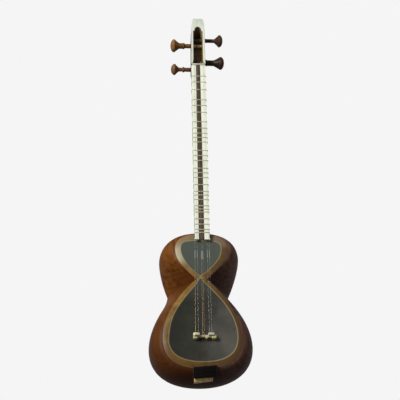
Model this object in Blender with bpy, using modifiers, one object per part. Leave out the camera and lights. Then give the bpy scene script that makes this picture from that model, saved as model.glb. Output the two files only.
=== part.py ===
"""A Persian tar: double-bowl body, skin belly, bone-faced neck, tied frets, four pegs.

The origin is the hang hole in the front of the head. The neck runs down along -Z from
there and the strings face -Y. Places along the neck are given as distances below the
nut's speaking edge, or above it in the head.
"""
import math

import bmesh
import bpy
from mathutils import Vector

# Driving dimensions, in metres
GAP = 0.0003
MERGE = 0.00001
NUT_DROP = 0.1418
SCALE_LENGTH = 0.680

NECK_HALF_WIDTH_NUT = 0.0172
NECK_HALF_WIDTH_BODY = 0.0153
NECK_LEAN = 0.0020
NECK_DEPTH_NUT = 0.0340
NECK_DEPTH_BODY = 0.0400
NECK_STRAIGHT_SIDE = 0.0045
NECK_ROUND_STEPS = 5
NECK_END = 0.4697
BOARD_THICKNESS = 0.0030
BONE_STRIP_END = 0.4735
BONE_STRIP_FLARE = 0.0015
BONE_FLARE_LENGTH = 0.0040
CENTRE_STRIP_WIDTH_NUT = 0.0094
CENTRE_STRIP_WIDTH_BODY = 0.0113
CENTRE_STRIP_OFFSET = -0.0011
SMOOTH_DEGREES = 40

NUT_HEIGHT = 0.0042
NUT_HALF_WIDTH = 0.0158
NUT_PROUD = 0.0020
NUT_SEAT_Y = 0.0025

# Frets: cents above the open string, two octaves of the instrument's scale
OCTAVE_CENTS = 1200
FIRST_OCTAVE_CENTS = (90, 140, 204, 294, 345, 408, 498, 560, 612,
                      655, 702, 792, 850, 906, 996, 1050, 1110, 1200)
SECOND_OCTAVE_CENTS = (90, 140, 204, 294, 345, 390, 498, 588, 680, 735)
FRET_WIDTH = 0.0022
FRET_THICKNESS = 0.0008
GLUED_FRETS = 2
GLUED_FRET_LEG = 0.0055

# Head and pegbox, heights above the nut's speaking edge; the head's foot is as wide as the neck
HEAD_OUTLINE = ((0.0166, 0.1120), (0.0158, 0.1335), (0.0138, 0.1475),
                (0.0125, 0.1516), (0.0104, 0.1532))
HEAD_FACE_THICKNESS = 0.0025
PEGBOX_DEPTH = 0.0455
PEGBOX_BACK_ROUNDING = 0.0070
PEGBOX_BACK_SHARE = 0.80
PEGBOX_CORNER_DEPTH = 0.30
PEGBOX_CORNER_SHARE = 0.93
CAVITY_HALF_WIDTH = 0.0120
CAVITY_FLOOR = 0.0045
CHEEK_FLARE = 0.0022
CHEEK_FLARE_HEIGHT = 0.0140
CAVITY_BACK_Y = 0.0385
ARCH_SHOULDER = 0.1125
SHOULDER_DROP = 0.0015
SHOULDER_ROUNDING = 0.0010
ARCH_HALF_WIDTH = 0.0084
ARCH_FOOT_ROUNDING = 0.0006
ARCH_SPRING = 0.1155
ARCH_TOP = 0.1267
ARCH_STEPS = 4
HANG_HOLE_RADIUS = 0.0012
HANG_HOLE_DEPTH = 0.0100

# Pegs: shafts cross the pegbox at this depth
PEG_DEPTH = 0.0300
PEG_STEPS = 16
PEG_SEAT_RADIUS = 0.0044
PEG_TIP_RADIUS = 0.0034
PEG_SHOULDER_X = NECK_HALF_WIDTH_NUT + 2 * GAP
PEG_TIP_X = 0.0160
PEG_HEAD_DOME = 0.0100
# Points over a head's dome: share of the ridge's radius, and share of the dome's height
DOME_POINTS = ((0.50, 0.11), (0.80, 0.35), (0.96, 0.68))
HOLLOW_POINTS = (0.78, 0.50, 0.22)
HOLLOW_POWER = 1.15
COLLAR_EDGE_SHARE = 0.93
COLLAR_HALF_LENGTH = 0.0024
COLLAR_REACH = 0.0052
FOOT_FLARE_LENGTH = 0.0060
PEGS = {
    "peg_upper_right": dict(side=1, height=0.1070, end=0.0640, ridge=0.0155, neck_x=0.0420, neck=0.0047,
                            dip=0.0, collar_x=0.0, collar=0.0, shank=0.0048, foot=0.0052),
    "peg_upper_left": dict(side=-1, height=0.0877, end=0.0680, ridge=0.0163, neck_x=0.0460, neck=0.0072,
                           dip=0.0070, collar_x=0.0345, collar=0.0079, shank=0.0053, foot=0.0056),
    "peg_lower_right": dict(side=1, height=0.0335, end=0.0655, ridge=0.0160, neck_x=0.0390, neck=0.0070,
                            dip=0.0, collar_x=0.0, collar=0.0, shank=0.0071, foot=0.0092),
    "peg_lower_left": dict(side=-1, height=0.0103, end=0.0662, ridge=0.0138, neck_x=0.0470, neck=0.0050,
                           dip=0.0047, collar_x=0.0355, collar=0.0068, shank=0.0050, foot=0.0052),
}

# Strings: place at the nut, on the peg and at the bridge, radius, peg, way the turns run
WINDING_GAP = 0.00045
WINDING_TURNS = 3.2
LOOP_POINTS = 24
STRING_WRAP_DEGREES = 40
STRINGS = (
    dict(nut=-0.0120, peg_x=-0.0085, bridge=-0.0144, radius=0.00028, peg="peg_lower_left", way=1),
    dict(nut=-0.0095, peg_x=-0.0025, bridge=-0.0092, radius=0.00024, peg="peg_lower_left", way=1),
    dict(nut=-0.0012, peg_x=-0.0040, bridge=0.0000, radius=0.00028, peg="peg_upper_left", way=1),
    dict(nut=0.0013, peg_x=0.0040, bridge=0.0030, radius=0.00030, peg="peg_upper_right", way=-1),
    dict(nut=0.0095, peg_x=0.0025, bridge=0.0122, radius=0.00024, peg="peg_lower_right", way=-1),
    dict(nut=0.0120, peg_x=0.0085, bridge=0.0170, radius=0.00024, peg="peg_lower_right", way=-1),
)

# Bowl: rim outlines are half outlines from the top, through the widest point, to the tip
RIM_INNER_Y = 0.0100
RIM_OUTER_Y = 0.0125
WALL = 0.0060
OUTLINE_STEPS = 8
ARC_STEPS = 5
BAND_TIP = (0.0098, 0.5591)
UPPER_RIM = dict(end=0.4550, wide=(0.0550, 0.4896), tip=BAND_TIP,
                 end_pull=(0.607, 0.681), tip_pull=(0.455, 0.383, 0.268))
UPPER_OPENING = dict(end=0.4726, wide=(0.0402, 0.4924), tip=(0.0, 0.5518),
                     end_pull=(0.90, 0.90), tip_pull=(0.39, 0.42, 0.15))
LOWER_RIM = dict(end=0.7447, wide=(0.0782, 0.6815), tip=BAND_TIP,
                 end_pull=(0.575, 0.752), tip_pull=(0.407, 0.391, 0.184))
LOWER_OPENING = dict(end=0.7303, wide=(0.0658, 0.6823), tip=(0.0, 0.5565),
                     end_pull=(0.602, 0.586), tip_pull=(0.475, 0.396, 0.289))
WEB_POINT = (0.0, 0.5540)
WEB_DEPTH = 0.0210
SIDE_TOP = 0.4444
SIDE_UPPER = (0.0856, 0.4900)
SIDE_WAIST = (0.0655, 0.5595)
SIDE_LOWER = (0.1053, 0.6851)
SIDE_BOTTOM = 0.7615
TOP_PULLS = (0.565, 0.716)
UPPER_WAIST_PULLS = (0.200, 0.610, 0.3725)
LOWER_WAIST_PULLS = (0.050, 0.272, 0.403)
BOTTOM_PULLS = (0.6565, 0.587)
WAIST_STRAIGHTNESS = 0.75
WAIST_REACH = 0.5
# At the top, upper widest, waist, lower widest and bottom of the bowl
SIDE_DEPTHS = (0.0765, 0.0850, 0.1120, 0.0800, 0.0680)
BACK_DEPTHS = (0.1480, 0.1500, 0.1360, 0.1760, 0.1760)
SPINE_PLACES = (0.4780, 0.5000, 0.5600, 0.6650, 0.6900)
SIDE_DRIFTS = (-0.0022, -0.0016, -0.0026, 0.0, -0.0034)

SKIN_THICKNESS = 0.0005
SKIN_INSET = 0.0006
SKIN_SEAM = 0.5541
PLUG_FRONT_Y = 0.0089

# Bridge blocks: x from and to, y from and to, distance below the nut from and to
BRIDGE_FOOT_Y = PLUG_FRONT_Y
BRIDGE_TOP_Y = -0.0070
BRIDGE_BAR_Y = -0.0012
BRIDGE_FOOT_FRONT = -0.0010
BRIDGE_BACK = 0.0040
BRIDGE_ROUNDING = 0.0026
BRIDGE_BAR_ROUNDING = 0.0010
BRIDGE_BLOCKS = {
    "bridge": dict(x=(-0.0190, -0.0055), y=(BRIDGE_TOP_Y, BRIDGE_FOOT_Y), along=(-0.0021, 0.0075)),
    "bridge_bar": dict(x=(-0.0085, 0.0200), y=(BRIDGE_BAR_Y, 0.0040), along=(0.0008, 0.0056)),
    "bridge_middle_foot": dict(x=(0.0036, 0.0118), y=(BRIDGE_FOOT_FRONT, BRIDGE_FOOT_Y),
                               along=(0.0004, 0.0063)),
    "bridge_right_cap": dict(x=(0.0102, 0.0236), y=(BRIDGE_TOP_Y, 0.0010), along=(-0.0022, 0.0044)),
    "bridge_right_foot": dict(x=(0.0172, 0.0264), y=(BRIDGE_FOOT_FRONT, BRIDGE_FOOT_Y),
                              along=(-0.0006, 0.0056)),
}

# Tail: cross-sections as distance below the nut and depth, then the span across and the slant
BLOCK_SECTION = ((0.7425, 0.0050), (0.7568, 0.0255), (0.7480, 0.0350), (0.7380, 0.0130))
BLOCK_SPAN = (-0.0188, 0.0271)
BLOCK_SLANT = 0.080
BAR_SECTION = ((0.7570, 0.0300), (0.7625, 0.0325), (0.7632, 0.0400), (0.7540, 0.0430), (0.7500, 0.0340))
BAR_SPAN = (-0.0160, 0.0205)
BAR_SLANT = 0.125
STRING_ON_BAR = 0.0020
# Where a wire bends over the block's edge: off it in depth and in height, in wire clearances
EDGE_BENDS = ((1.2, 1.0), (0.9, -0.6))


def below(distance):
    """Height of a place given as its distance below the nut."""
    return -NUT_DROP - distance


def srgb(red, green, blue):
    """A colour of 0 to 255 as linear values."""
    def linear(value):
        share = value / 255
        return share / 12.92 if share <= 0.04045 else ((share + 0.055) / 1.055) ** 2.4
    return (linear(red), linear(green), linear(blue), 1.0)


def make_material(name, colour, roughness, metallic=0.0):
    """A Principled BSDF material."""
    material = bpy.data.materials.new(name)
    material.use_nodes = True
    shader = material.node_tree.nodes["Principled BSDF"]
    shader.inputs["Base Color"].default_value = colour
    shader.inputs["Roughness"].default_value = roughness
    shader.inputs["Metallic"].default_value = metallic
    return material


def clear_scene():
    """Remove what the file opened with."""
    for thing in list(bpy.data.objects):
        bpy.data.objects.remove(thing, do_unlink=True)


def new_collection(name):
    """A collection under the scene."""
    collection = bpy.data.collections.new(name)
    bpy.context.scene.collection.children.link(collection)
    return collection


def add_object(name, data, material, collection, location=(0, 0, 0)):
    """An object of its own in a collection."""
    thing = bpy.data.objects.new(name, data)
    thing.location = location
    if material:
        data.materials.append(material)
    collection.objects.link(thing)
    return thing


def mesh_from(name, bm, smooth_angle=None):
    """A mesh with its faces turned out, round where an angle is given."""
    bmesh.ops.recalc_face_normals(bm, faces=bm.faces)
    mesh = bpy.data.meshes.new(name)
    bm.to_mesh(mesh)
    bm.free()
    if smooth_angle is not None:
        mesh.shade_smooth()
        mesh.set_sharp_from_angle(angle=math.radians(smooth_angle))
    return mesh


def loft(name, rings, smooth_angle=None):
    """A closed solid through rings of equal count."""
    bm = bmesh.new()
    made = [[bm.verts.new(point) for point in ring] for ring in rings]
    count = len(rings[0])
    for ring, following in zip(made, made[1:]):
        for i in range(count):
            j = (i + 1) % count
            bm.faces.new((ring[i], ring[j], following[j], following[i]))
    bm.faces.new(made[0])
    bm.faces.new(reversed(made[-1]))
    return mesh_from(name, bm, smooth_angle)


def prism(name, outline, front, back):
    """An outline of x and z, from one depth to another."""
    return loft(name, [[(x, front, z) for x, z in outline], [(x, back, z) for x, z in outline]])


def bezier(start, pull_start, pull_end, end, steps):
    """Points along a cubic curve."""
    points = []
    for i in range(steps + 1):
        t = i / steps
        u = 1 - t
        weights = (u ** 3, 3 * u * u * t, 3 * u * t * t, t ** 3)
        points.append(tuple(sum(w * p[axis] for w, p in zip(weights, (start, pull_start, pull_end, end)))
                            for axis in (0, 1)))
    return points


def cut_with(thing, cutter, operation="DIFFERENCE"):
    """A Boolean on an object, by a hidden cutter."""
    modifier = thing.modifiers.new(cutter.name, "BOOLEAN")
    modifier.operation = operation
    modifier.solver = "EXACT"
    modifier.object = cutter


def add_cutter(name, mesh, collection, location=(0, 0, 0)):
    """A cutter, hidden in renders."""
    cutter = add_object(name, mesh, None, collection, location)
    cutter.hide_render = True
    cutter.display_type = "WIRE"
    return cutter


def lobe_outline(end, wide, tip, end_pull, tip_pull, first_steps, second_steps):
    """Half outline of a lobe, from its far end round the widest point to the tip."""
    first = bezier((0, end), (wide[0] * end_pull[0], end),
                   (wide[0], wide[1] + (end - wide[1]) * end_pull[1]), wide, first_steps)
    second = bezier(wide, (wide[0], wide[1] + (tip[1] - wide[1]) * tip_pull[0]),
                    (tip[0] + (wide[0] - tip[0]) * tip_pull[1],
                     wide[1] + (tip[1] - wide[1]) * (1 - tip_pull[2])),
                    tip, second_steps)
    return first[:-1] + second


def rim_outline():
    """The band's outer edge, from the top of the bowl to its bottom."""
    upper = lobe_outline(**UPPER_RIM, first_steps=OUTLINE_STEPS, second_steps=OUTLINE_STEPS)
    lower = lobe_outline(**LOWER_RIM, first_steps=OUTLINE_STEPS, second_steps=OUTLINE_STEPS)
    return upper + lower[-2::-1]


def opening_outlines():
    """The two openings' half outlines, each from its far end to its tip."""
    upper = lobe_outline(**UPPER_OPENING, first_steps=OUTLINE_STEPS, second_steps=OUTLINE_STEPS - 1)
    lower = lobe_outline(**LOWER_OPENING, first_steps=OUTLINE_STEPS, second_steps=OUTLINE_STEPS - 1)
    return upper, lower


def side_outline(inset=0.0):
    """The bowl's widest outline, from the top to the bottom."""
    upper, waist, lower = SIDE_UPPER, SIDE_WAIST, SIDE_LOWER
    upper_drop = waist[1] - upper[1]
    lower_drop = lower[1] - waist[1]
    across, arrive = TOP_PULLS
    first = bezier((0, SIDE_TOP), (upper[0] * across, SIDE_TOP),
                   (upper[0], upper[1] - (upper[1] - SIDE_TOP) * arrive), upper, OUTLINE_STEPS)
    leave, across, arrive = UPPER_WAIST_PULLS
    second = bezier(upper, (upper[0], upper[1] + upper_drop * leave),
                    (waist[0] + (upper[0] - waist[0]) * across, waist[1] - upper_drop * arrive),
                    waist, OUTLINE_STEPS)
    across, leave, arrive = LOWER_WAIST_PULLS
    third = bezier(waist, (waist[0] + (lower[0] - waist[0]) * across, waist[1] + lower_drop * leave),
                   (lower[0], lower[1] - lower_drop * arrive), lower, OUTLINE_STEPS)
    leave, across = BOTTOM_PULLS
    fourth = bezier(lower, (lower[0], lower[1] + (SIDE_BOTTOM - lower[1]) * leave),
                    (lower[0] * across, SIDE_BOTTOM), (0, SIDE_BOTTOM), OUTLINE_STEPS)
    outline = first[:-1] + second[:-1] + third[:-1] + fourth
    if not inset:
        return outline
    moved = []
    for i, (x, along) in enumerate(outline):
        before = outline[max(i - 1, 0)]
        after = outline[min(i + 1, len(outline) - 1)]
        way = Vector((after[1] - before[1], before[0] - after[0])).normalized()
        if x == 0:
            way = Vector((0, -1 if i == 0 else 1))
        moved.append((x - way.x * inset, along - way.y * inset))
    return moved


def share_along(values, place):
    """A value between the five stations of the bowl."""
    i = min(int(place), len(values) - 2)
    return values[i] + (values[i + 1] - values[i]) * (place - i)


def bowl_sheet(side, least, rim, rim_depths, widest, back_inset=0.0):
    """Rows of points on one side, from the rim, round the widest line, to the spine."""
    rows = []
    for i, (start, wide) in enumerate(zip(rim, widest)):
        place = i / OUTLINE_STEPS
        straight = WAIST_STRAIGHTNESS * math.exp(-((place - 2) / WAIST_REACH) ** 2)
        side_y = share_along(SIDE_DEPTHS, place)
        back_y = share_along(BACK_DEPTHS, place) - back_inset
        spine = share_along(SPINE_PLACES, place)
        drift = share_along(SIDE_DRIFTS, place)
        row = []
        for j in range(ARC_STEPS + 1):
            turn = math.pi / 2 * j / ARC_STEPS
            out = math.sin(turn)
            deep = (1 - straight) * (1 - math.cos(turn)) + straight * out
            across = start[0] + (wide[0] - start[0]) * out
            row.append((side * max(across, least) + drift * out,
                        rim_depths[i] + (side_y - rim_depths[i]) * deep,
                        below(start[1] + (wide[1] - start[1]) * out)))
        for j in range(1, ARC_STEPS + 1):
            turn = math.pi / 2 * j / ARC_STEPS
            out = math.cos(turn)
            row.append((side * max(wide[0] * out, least) + drift * out,
                        side_y + (back_y - side_y) * math.sin(turn),
                        below(spine + (wide[1] - spine) * out)))
        rows.append(row)
    return rows


def add_sheet(bm, rows):
    """The faces of a sheet of rows, and its points."""
    points = [[bm.verts.new(point) for point in row] for row in rows]
    for row, following in zip(points, points[1:]):
        for j in range(len(row) - 1):
            bm.faces.new((row[j], following[j], following[j + 1], row[j + 1]))
    return points


def body_half(side):
    """One carved half of the bowl, closed along the middle of the instrument."""
    upper, lower = opening_outlines()
    inner_rim = upper + [WEB_POINT] + lower[::-1]
    inner_depths = [RIM_INNER_Y] * len(inner_rim)
    tip = 2 * OUTLINE_STEPS
    inner_depths[tip] = WEB_DEPTH
    outline = rim_outline()
    bm = bmesh.new()
    out = add_sheet(bm, bowl_sheet(side, GAP / 2, outline, [RIM_OUTER_Y] * len(outline), side_outline()))
    into = add_sheet(bm, bowl_sheet(side, GAP / 2, inner_rim, inner_depths, side_outline(WALL), WALL))
    last_row, last = len(out) - 1, len(out[0]) - 1
    for i in range(last_row):
        bm.faces.new((out[i][last], out[i + 1][last], into[i + 1][last], into[i][last]))
        if i not in (tip - 1, tip):
            bm.faces.new((out[i][0], out[i + 1][0], into[i + 1][0], into[i][0]))
    bm.faces.new((out[tip - 1][0], out[tip][0], into[tip - 1][0]))
    bm.faces.new((out[tip][0], into[tip + 1][0], into[tip - 1][0]))
    bm.faces.new((out[tip][0], out[tip + 1][0], into[tip + 1][0]))
    bm.faces.new((into[tip - 1][0], into[tip + 1][0], into[tip][0]))
    for i in (0, last_row):
        for j in range(last):
            bm.faces.new((out[i][j], out[i][j + 1], into[i][j + 1], into[i][j]))
    return mesh_from("body_half", bm, SMOOTH_DEGREES)


def bowl_plug():
    """The whole bowl as a solid, grown by the gap, for what seats on it."""
    outline = rim_outline()
    bm = bmesh.new()
    for side in (-1, 1):
        add_sheet(bm, bowl_sheet(side, 0, outline, [RIM_OUTER_Y] * len(outline), side_outline()))
    bmesh.ops.remove_doubles(bm, verts=bm.verts, dist=MERGE)
    bmesh.ops.recalc_face_normals(bm, faces=bm.faces)
    bm.normal_update()
    rearmost = max(bm.faces, key=lambda face: face.calc_center_median().y)
    if rearmost.normal.y < 0:
        bmesh.ops.reverse_faces(bm, faces=bm.faces)
        bm.normal_update()
    for vert, way in [(vert, vert.normal.copy()) for vert in bm.verts]:
        vert.co += way * GAP
    brim = bmesh.ops.extrude_edge_only(bm, edges=[edge for edge in bm.edges if edge.is_boundary])
    for item in brim["geom"]:
        if isinstance(item, bmesh.types.BMVert):
            item.co.y = PLUG_FRONT_Y
    bmesh.ops.holes_fill(bm, edges=bm.edges)
    return mesh_from("bowl_plug", bm)


def add_skin(name, rim, opening, seam, material, collection):
    """One skin: half of it, mirrored and given its thickness forwards."""
    bm = bmesh.new()
    outer = [bm.verts.new((x, RIM_OUTER_Y - GAP, below(along))) for x, along in rim]
    inner = [bm.verts.new((x, RIM_INNER_Y - GAP, below(along))) for x, along in opening]
    apex = bm.verts.new((0, RIM_INNER_Y - GAP, below(seam)))
    for i in range(len(inner) - 1):
        bm.faces.new((outer[i], outer[i + 1], inner[i + 1], inner[i]))
    bm.faces.new((outer[-2], outer[-1], inner[-1]))
    bm.faces.new((outer[-1], apex, inner[-1]))
    bm.faces.new(inner)
    bmesh.ops.recalc_face_normals(bm, faces=bm.faces)
    if sum(face.normal.y for face in bm.faces) > 0:
        bmesh.ops.reverse_faces(bm, faces=bm.faces)
    mesh = bpy.data.meshes.new(name)
    bm.to_mesh(mesh)
    bm.free()
    skin = add_object(name, mesh, material, collection)
    mirror = skin.modifiers.new("halves", "MIRROR")
    mirror.merge_threshold = MERGE
    shell = skin.modifiers.new("thickness", "SOLIDIFY")
    shell.thickness = SKIN_THICKNESS
    shell.offset = 1
    return skin


def skin_rim(rim):
    """The skin's edge: the band's edge drawn in a little all round."""
    middle = (sum(p[1] for p in rim)) / len(rim)
    drawn = []
    for x, along in rim:
        way = Vector((x, along - middle)).normalized()
        drawn.append((max(x - way.x * SKIN_INSET, 0) if x else 0, along - way.y * SKIN_INSET))
    return drawn


def add_skins(material, collection):
    """The two skins, which meet in a seam over the waist."""
    upper_opening, lower_opening = opening_outlines()
    outline = rim_outline()
    tip = 2 * OUTLINE_STEPS
    upper_rim = skin_rim(outline[:tip + 1])
    lower_rim = skin_rim(outline[:tip - 1:-1])
    upper_rim[-1] = (BAND_TIP[0] - SKIN_INSET, BAND_TIP[1] - SKIN_INSET)
    lower_rim[-1] = (BAND_TIP[0] - SKIN_INSET, BAND_TIP[1])
    add_skin("skin_upper", upper_rim, upper_opening, SKIN_SEAM, material, collection)
    add_skin("skin_lower", lower_rim, lower_opening, SKIN_SEAM + SKIN_INSET, material, collection)


def neck_size(along):
    """Half width and depth of the neck at a distance below the nut."""
    share = along / NECK_END
    return (NECK_HALF_WIDTH_NUT + (NECK_HALF_WIDTH_BODY - NECK_HALF_WIDTH_NUT) * share,
            NECK_DEPTH_NUT + (NECK_DEPTH_BODY - NECK_DEPTH_NUT) * share)


def neck_ring(along, front, grown=0.0, at=None):
    """The neck's section: flat front, straight sides, round back."""
    half_width, depth = neck_size(along)
    half_width += grown
    z = below(along if at is None else at)
    points = [(half_width, front - grown)]
    for i in range(NECK_ROUND_STEPS * 2 + 1):
        turn = math.pi * i / (NECK_ROUND_STEPS * 2)
        points.append((half_width * math.cos(turn),
                       NECK_STRAIGHT_SIDE + (depth + grown - NECK_STRAIGHT_SIDE) * math.sin(turn)))
    points.append((-half_width, front - grown))
    return [(x, y, z) for x, y in points]


def neck_middle(along):
    """Sideways place of the neck's middle line, which leans a little to the right."""
    return NECK_LEAN * along / NECK_END


def centre_strip_edge(along, side):
    """One edge of the middle strip at a distance below the nut."""
    widening = (CENTRE_STRIP_WIDTH_BODY - CENTRE_STRIP_WIDTH_NUT) * along / NECK_END
    return neck_middle(along) + CENTRE_STRIP_OFFSET + side * (CENTRE_STRIP_WIDTH_NUT + widening) / 2


def add_neck(core_material, bone, dark, plug, collection):
    """The neck's core, let onto the bowl, and the three strips glued on its front."""
    rings = [[(x + neck_middle(along), y, z) for x, y, z in neck_ring(along, BOARD_THICKNESS + GAP)]
             for along in (GAP, NECK_END)]
    core = add_object("neck_core", loft("neck_core", rings, SMOOTH_DEGREES), core_material, collection)
    cut_with(core, plug)
    for name, side in (("bone_strip_left", -1), ("bone_strip_right", 1)):
        outline = [(centre_strip_edge(along, side) + side * GAP, below(along))
                   for along in (BONE_STRIP_END, GAP)]
        for along, flare in ((GAP, 0), (BONE_STRIP_END - BONE_FLARE_LENGTH, 0),
                             (BONE_STRIP_END, BONE_STRIP_FLARE)):
            half_width, _ = neck_size(along)
            outline.append((neck_middle(along) + side * (half_width + flare), below(along)))
        add_object(name, prism(name, outline, 0, BOARD_THICKNESS), bone, collection)
    outline = [(centre_strip_edge(along, side), below(along))
               for along, side in ((GAP, -1), (GAP, 1), (NECK_END, 1), (NECK_END, -1))]
    add_object("centre_strip", prism("centre_strip", outline, 0, BOARD_THICKNESS), dark, collection)


def add_nut(material, collection):
    """The bone nut, seated on the pegbox's floor."""
    low, high = below(0), below(0) + NUT_HEIGHT
    outline = [(-NUT_HALF_WIDTH, low), (NUT_HALF_WIDTH, low), (NUT_HALF_WIDTH, high), (-NUT_HALF_WIDTH, high)]
    add_object("nut", prism("nut", outline, -NUT_PROUD, NUT_SEAT_Y), material, collection)


def fret_places():
    """Distances of the frets below the nut."""
    cents = list(FIRST_OCTAVE_CENTS) + [OCTAVE_CENTS + c for c in SECOND_OCTAVE_CENTS]
    return [SCALE_LENGTH * (1 - 2 ** (-c / OCTAVE_CENTS)) for c in cents]


def fret_loop(name, along):
    """A tied fret: a closed band round strips and core."""
    bm = bmesh.new()
    rings = []
    for grown, at in ((GAP, -1), (GAP + FRET_THICKNESS, -1), (GAP + FRET_THICKNESS, 1), (GAP, 1)):
        ring = neck_ring(along, 0, grown, at=at * FRET_WIDTH / 2 - NUT_DROP)
        rings.append([bm.verts.new((x, y, z)) for x, y, z in ring])
    count = len(rings[0])
    for k in range(4):
        ring, following = rings[k], rings[(k + 1) % 4]
        for i in range(count):
            j = (i + 1) % count
            bm.faces.new((ring[i], ring[j], following[j], following[i]))
    return mesh_from(name, bm, SMOOTH_DEGREES)


def glued_fret(name, along):
    """A short fret glued over the strips where the heel leaves no way round."""
    half_width, _ = neck_size(along)
    inner, outer = half_width + GAP, half_width + GAP + FRET_THICKNESS
    outline = [(-outer, GLUED_FRET_LEG), (-outer, -GAP - FRET_THICKNESS), (outer, -GAP - FRET_THICKNESS),
               (outer, GLUED_FRET_LEG), (inner, GLUED_FRET_LEG), (inner, -GAP), (-inner, -GAP),
               (-inner, GLUED_FRET_LEG)]
    ends = [[(x, y, side * FRET_WIDTH / 2) for x, y in outline] for side in (-1, 1)]
    return loft(name, ends)


def add_frets(material, collection):
    """All frets, each with its origin on the neck's line at its own place."""
    places = fret_places()
    for number, along in enumerate(places, start=1):
        name = f"fret_{number:02d}"
        tied = number <= len(places) - GLUED_FRETS
        mesh = fret_loop(name, along) if tied else glued_fret(name, along)
        add_object(name, mesh, material, collection, (neck_middle(along), 0, below(along)))


def head_outline(foot, share=1.0):
    """The head's outline, from a foot height above the nut."""
    right = [(NECK_HALF_WIDTH_NUT, foot)] + list(HEAD_OUTLINE)
    points = right + [(-x, height) for x, height in reversed(right)]
    return [(x * share, below(0) + height) for x, height in points]


def arch_outline(floor):
    """The opening's outline: straight cheeks, small shoulders and a round arch."""
    foot = CAVITY_HALF_WIDTH + CHEEK_FLARE
    right = [(foot, floor), (foot, CAVITY_FLOOR),
             (CAVITY_HALF_WIDTH, CAVITY_FLOOR + CHEEK_FLARE_HEIGHT),
             (CAVITY_HALF_WIDTH, ARCH_SHOULDER - SHOULDER_DROP),
             (CAVITY_HALF_WIDTH - SHOULDER_ROUNDING, ARCH_SHOULDER),
             (ARCH_HALF_WIDTH + ARCH_FOOT_ROUNDING, ARCH_SHOULDER + SHOULDER_ROUNDING),
             (ARCH_HALF_WIDTH, ARCH_SPRING)]
    for i in range(1, ARCH_STEPS):
        turn = math.pi / 2 * i / ARCH_STEPS
        right.append((ARCH_HALF_WIDTH * math.cos(turn),
                      ARCH_SPRING + (ARCH_TOP - ARCH_SPRING) * math.sin(turn)))
    if floor == CAVITY_FLOOR:
        right = right[1:]
    points = right + [(0, ARCH_TOP)] + [(-x, height) for x, height in reversed(right)]
    return [(x, below(0) + height) for x, height in points]


def seat_radius(x):
    """Radius of the tapered shaft at a distance from the middle, towards the head."""
    share = (x + PEG_TIP_X) / (PEG_SHOULDER_X + PEG_TIP_X)
    return PEG_TIP_RADIUS + (PEG_SEAT_RADIUS - PEG_TIP_RADIUS) * share


def tapered_cutter(name, side, height, collection):
    """The reamed hole of one peg, through both cheeks."""
    reach = PEG_SHOULDER_X * 2
    rings = []
    for x in (-reach, reach):
        radius = seat_radius(x) + GAP
        rings.append([(side * x, PEG_DEPTH + radius * math.sin(2 * math.pi * k / PEG_STEPS),
                       below(0) + height + radius * math.cos(2 * math.pi * k / PEG_STEPS))
                      for k in range(PEG_STEPS)])
    return add_cutter(name, loft(name, rings), collection)


def add_pegbox(wood, bone, collection, cutters):
    """The hollow pegbox and the bone plate on its front, cut by the same tools."""
    front = HEAD_FACE_THICKNESS + GAP
    back = front + PEGBOX_DEPTH
    rings = []
    for y, share in ((front, 1), (back - PEGBOX_BACK_ROUNDING, 1),
                     (back - PEGBOX_BACK_ROUNDING * PEGBOX_CORNER_DEPTH, PEGBOX_CORNER_SHARE),
                     (back, PEGBOX_BACK_SHARE)):
        rings.append([(x, y, z) for x, z in head_outline(0, share)])
    pegbox = add_object("pegbox", loft("pegbox", rings, SMOOTH_DEGREES), wood, collection)
    face_foot = NUT_HEIGHT + GAP
    plate = prism("head_bone_face", head_outline(face_foot), 0, HEAD_FACE_THICKNESS)
    face = add_object("head_bone_face", plate, bone, collection)
    cavity = add_cutter("cavity_cutter", prism("cavity_cutter", arch_outline(CAVITY_FLOOR),
                                               -HEAD_FACE_THICKNESS, CAVITY_BACK_Y), cutters)
    opening = add_cutter("opening_cutter", prism("opening_cutter", arch_outline(-CAVITY_FLOOR),
                                                 -HEAD_FACE_THICKNESS, HEAD_FACE_THICKNESS * 2), cutters)
    cut_with(pegbox, cavity)
    cut_with(face, opening)
    bpy.ops.mesh.primitive_cylinder_add(vertices=12, radius=HANG_HOLE_RADIUS, depth=HANG_HOLE_DEPTH * 2,
                                        rotation=(math.pi / 2, 0, 0))
    hole = bpy.context.object
    hole.name = "hang_hole_cutter"
    for collected in list(hole.users_collection):
        collected.objects.unlink(hole)
    cutters.objects.link(hole)
    hole.hide_render = True
    hole.display_type = "WIRE"
    cut_with(pegbox, hole)
    cut_with(face, hole)
    for name, peg in PEGS.items():
        cut_with(pegbox, tapered_cutter(name + "_hole", peg["side"], peg["height"], cutters))


def peg_profile(peg):
    """Radius and distance from the middle, from the head's end to the tip."""
    end, ridge, neck_x, neck = peg["end"], peg["ridge"], peg["neck_x"], peg["neck"]
    ridge_x = end - PEG_HEAD_DOME
    profile = [(0, end)]
    profile += [(ridge * out, end - PEG_HEAD_DOME * down) for out, down in DOME_POINTS]
    profile.append((ridge, ridge_x))
    for share in HOLLOW_POINTS:
        profile.append((neck + (ridge - neck) * share ** HOLLOW_POWER, neck_x + (ridge_x - neck_x) * share))
    profile.append((neck, neck_x))
    if peg["collar"]:
        collar_x, collar = peg["collar_x"], peg["collar"]
        edge = collar * COLLAR_EDGE_SHARE
        profile += [(peg["dip"], collar_x + COLLAR_REACH), (edge, collar_x + COLLAR_HALF_LENGTH),
                    (collar, collar_x), (edge, collar_x - COLLAR_HALF_LENGTH),
                    (peg["shank"], collar_x - COLLAR_REACH)]
    else:
        profile.append((peg["shank"], PEG_SHOULDER_X + FOOT_FLARE_LENGTH))
    profile += [(peg["foot"], PEG_SHOULDER_X), (PEG_SEAT_RADIUS, PEG_SHOULDER_X),
                (PEG_TIP_RADIUS, -PEG_TIP_X), (0, -PEG_TIP_X)]
    return profile


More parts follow.
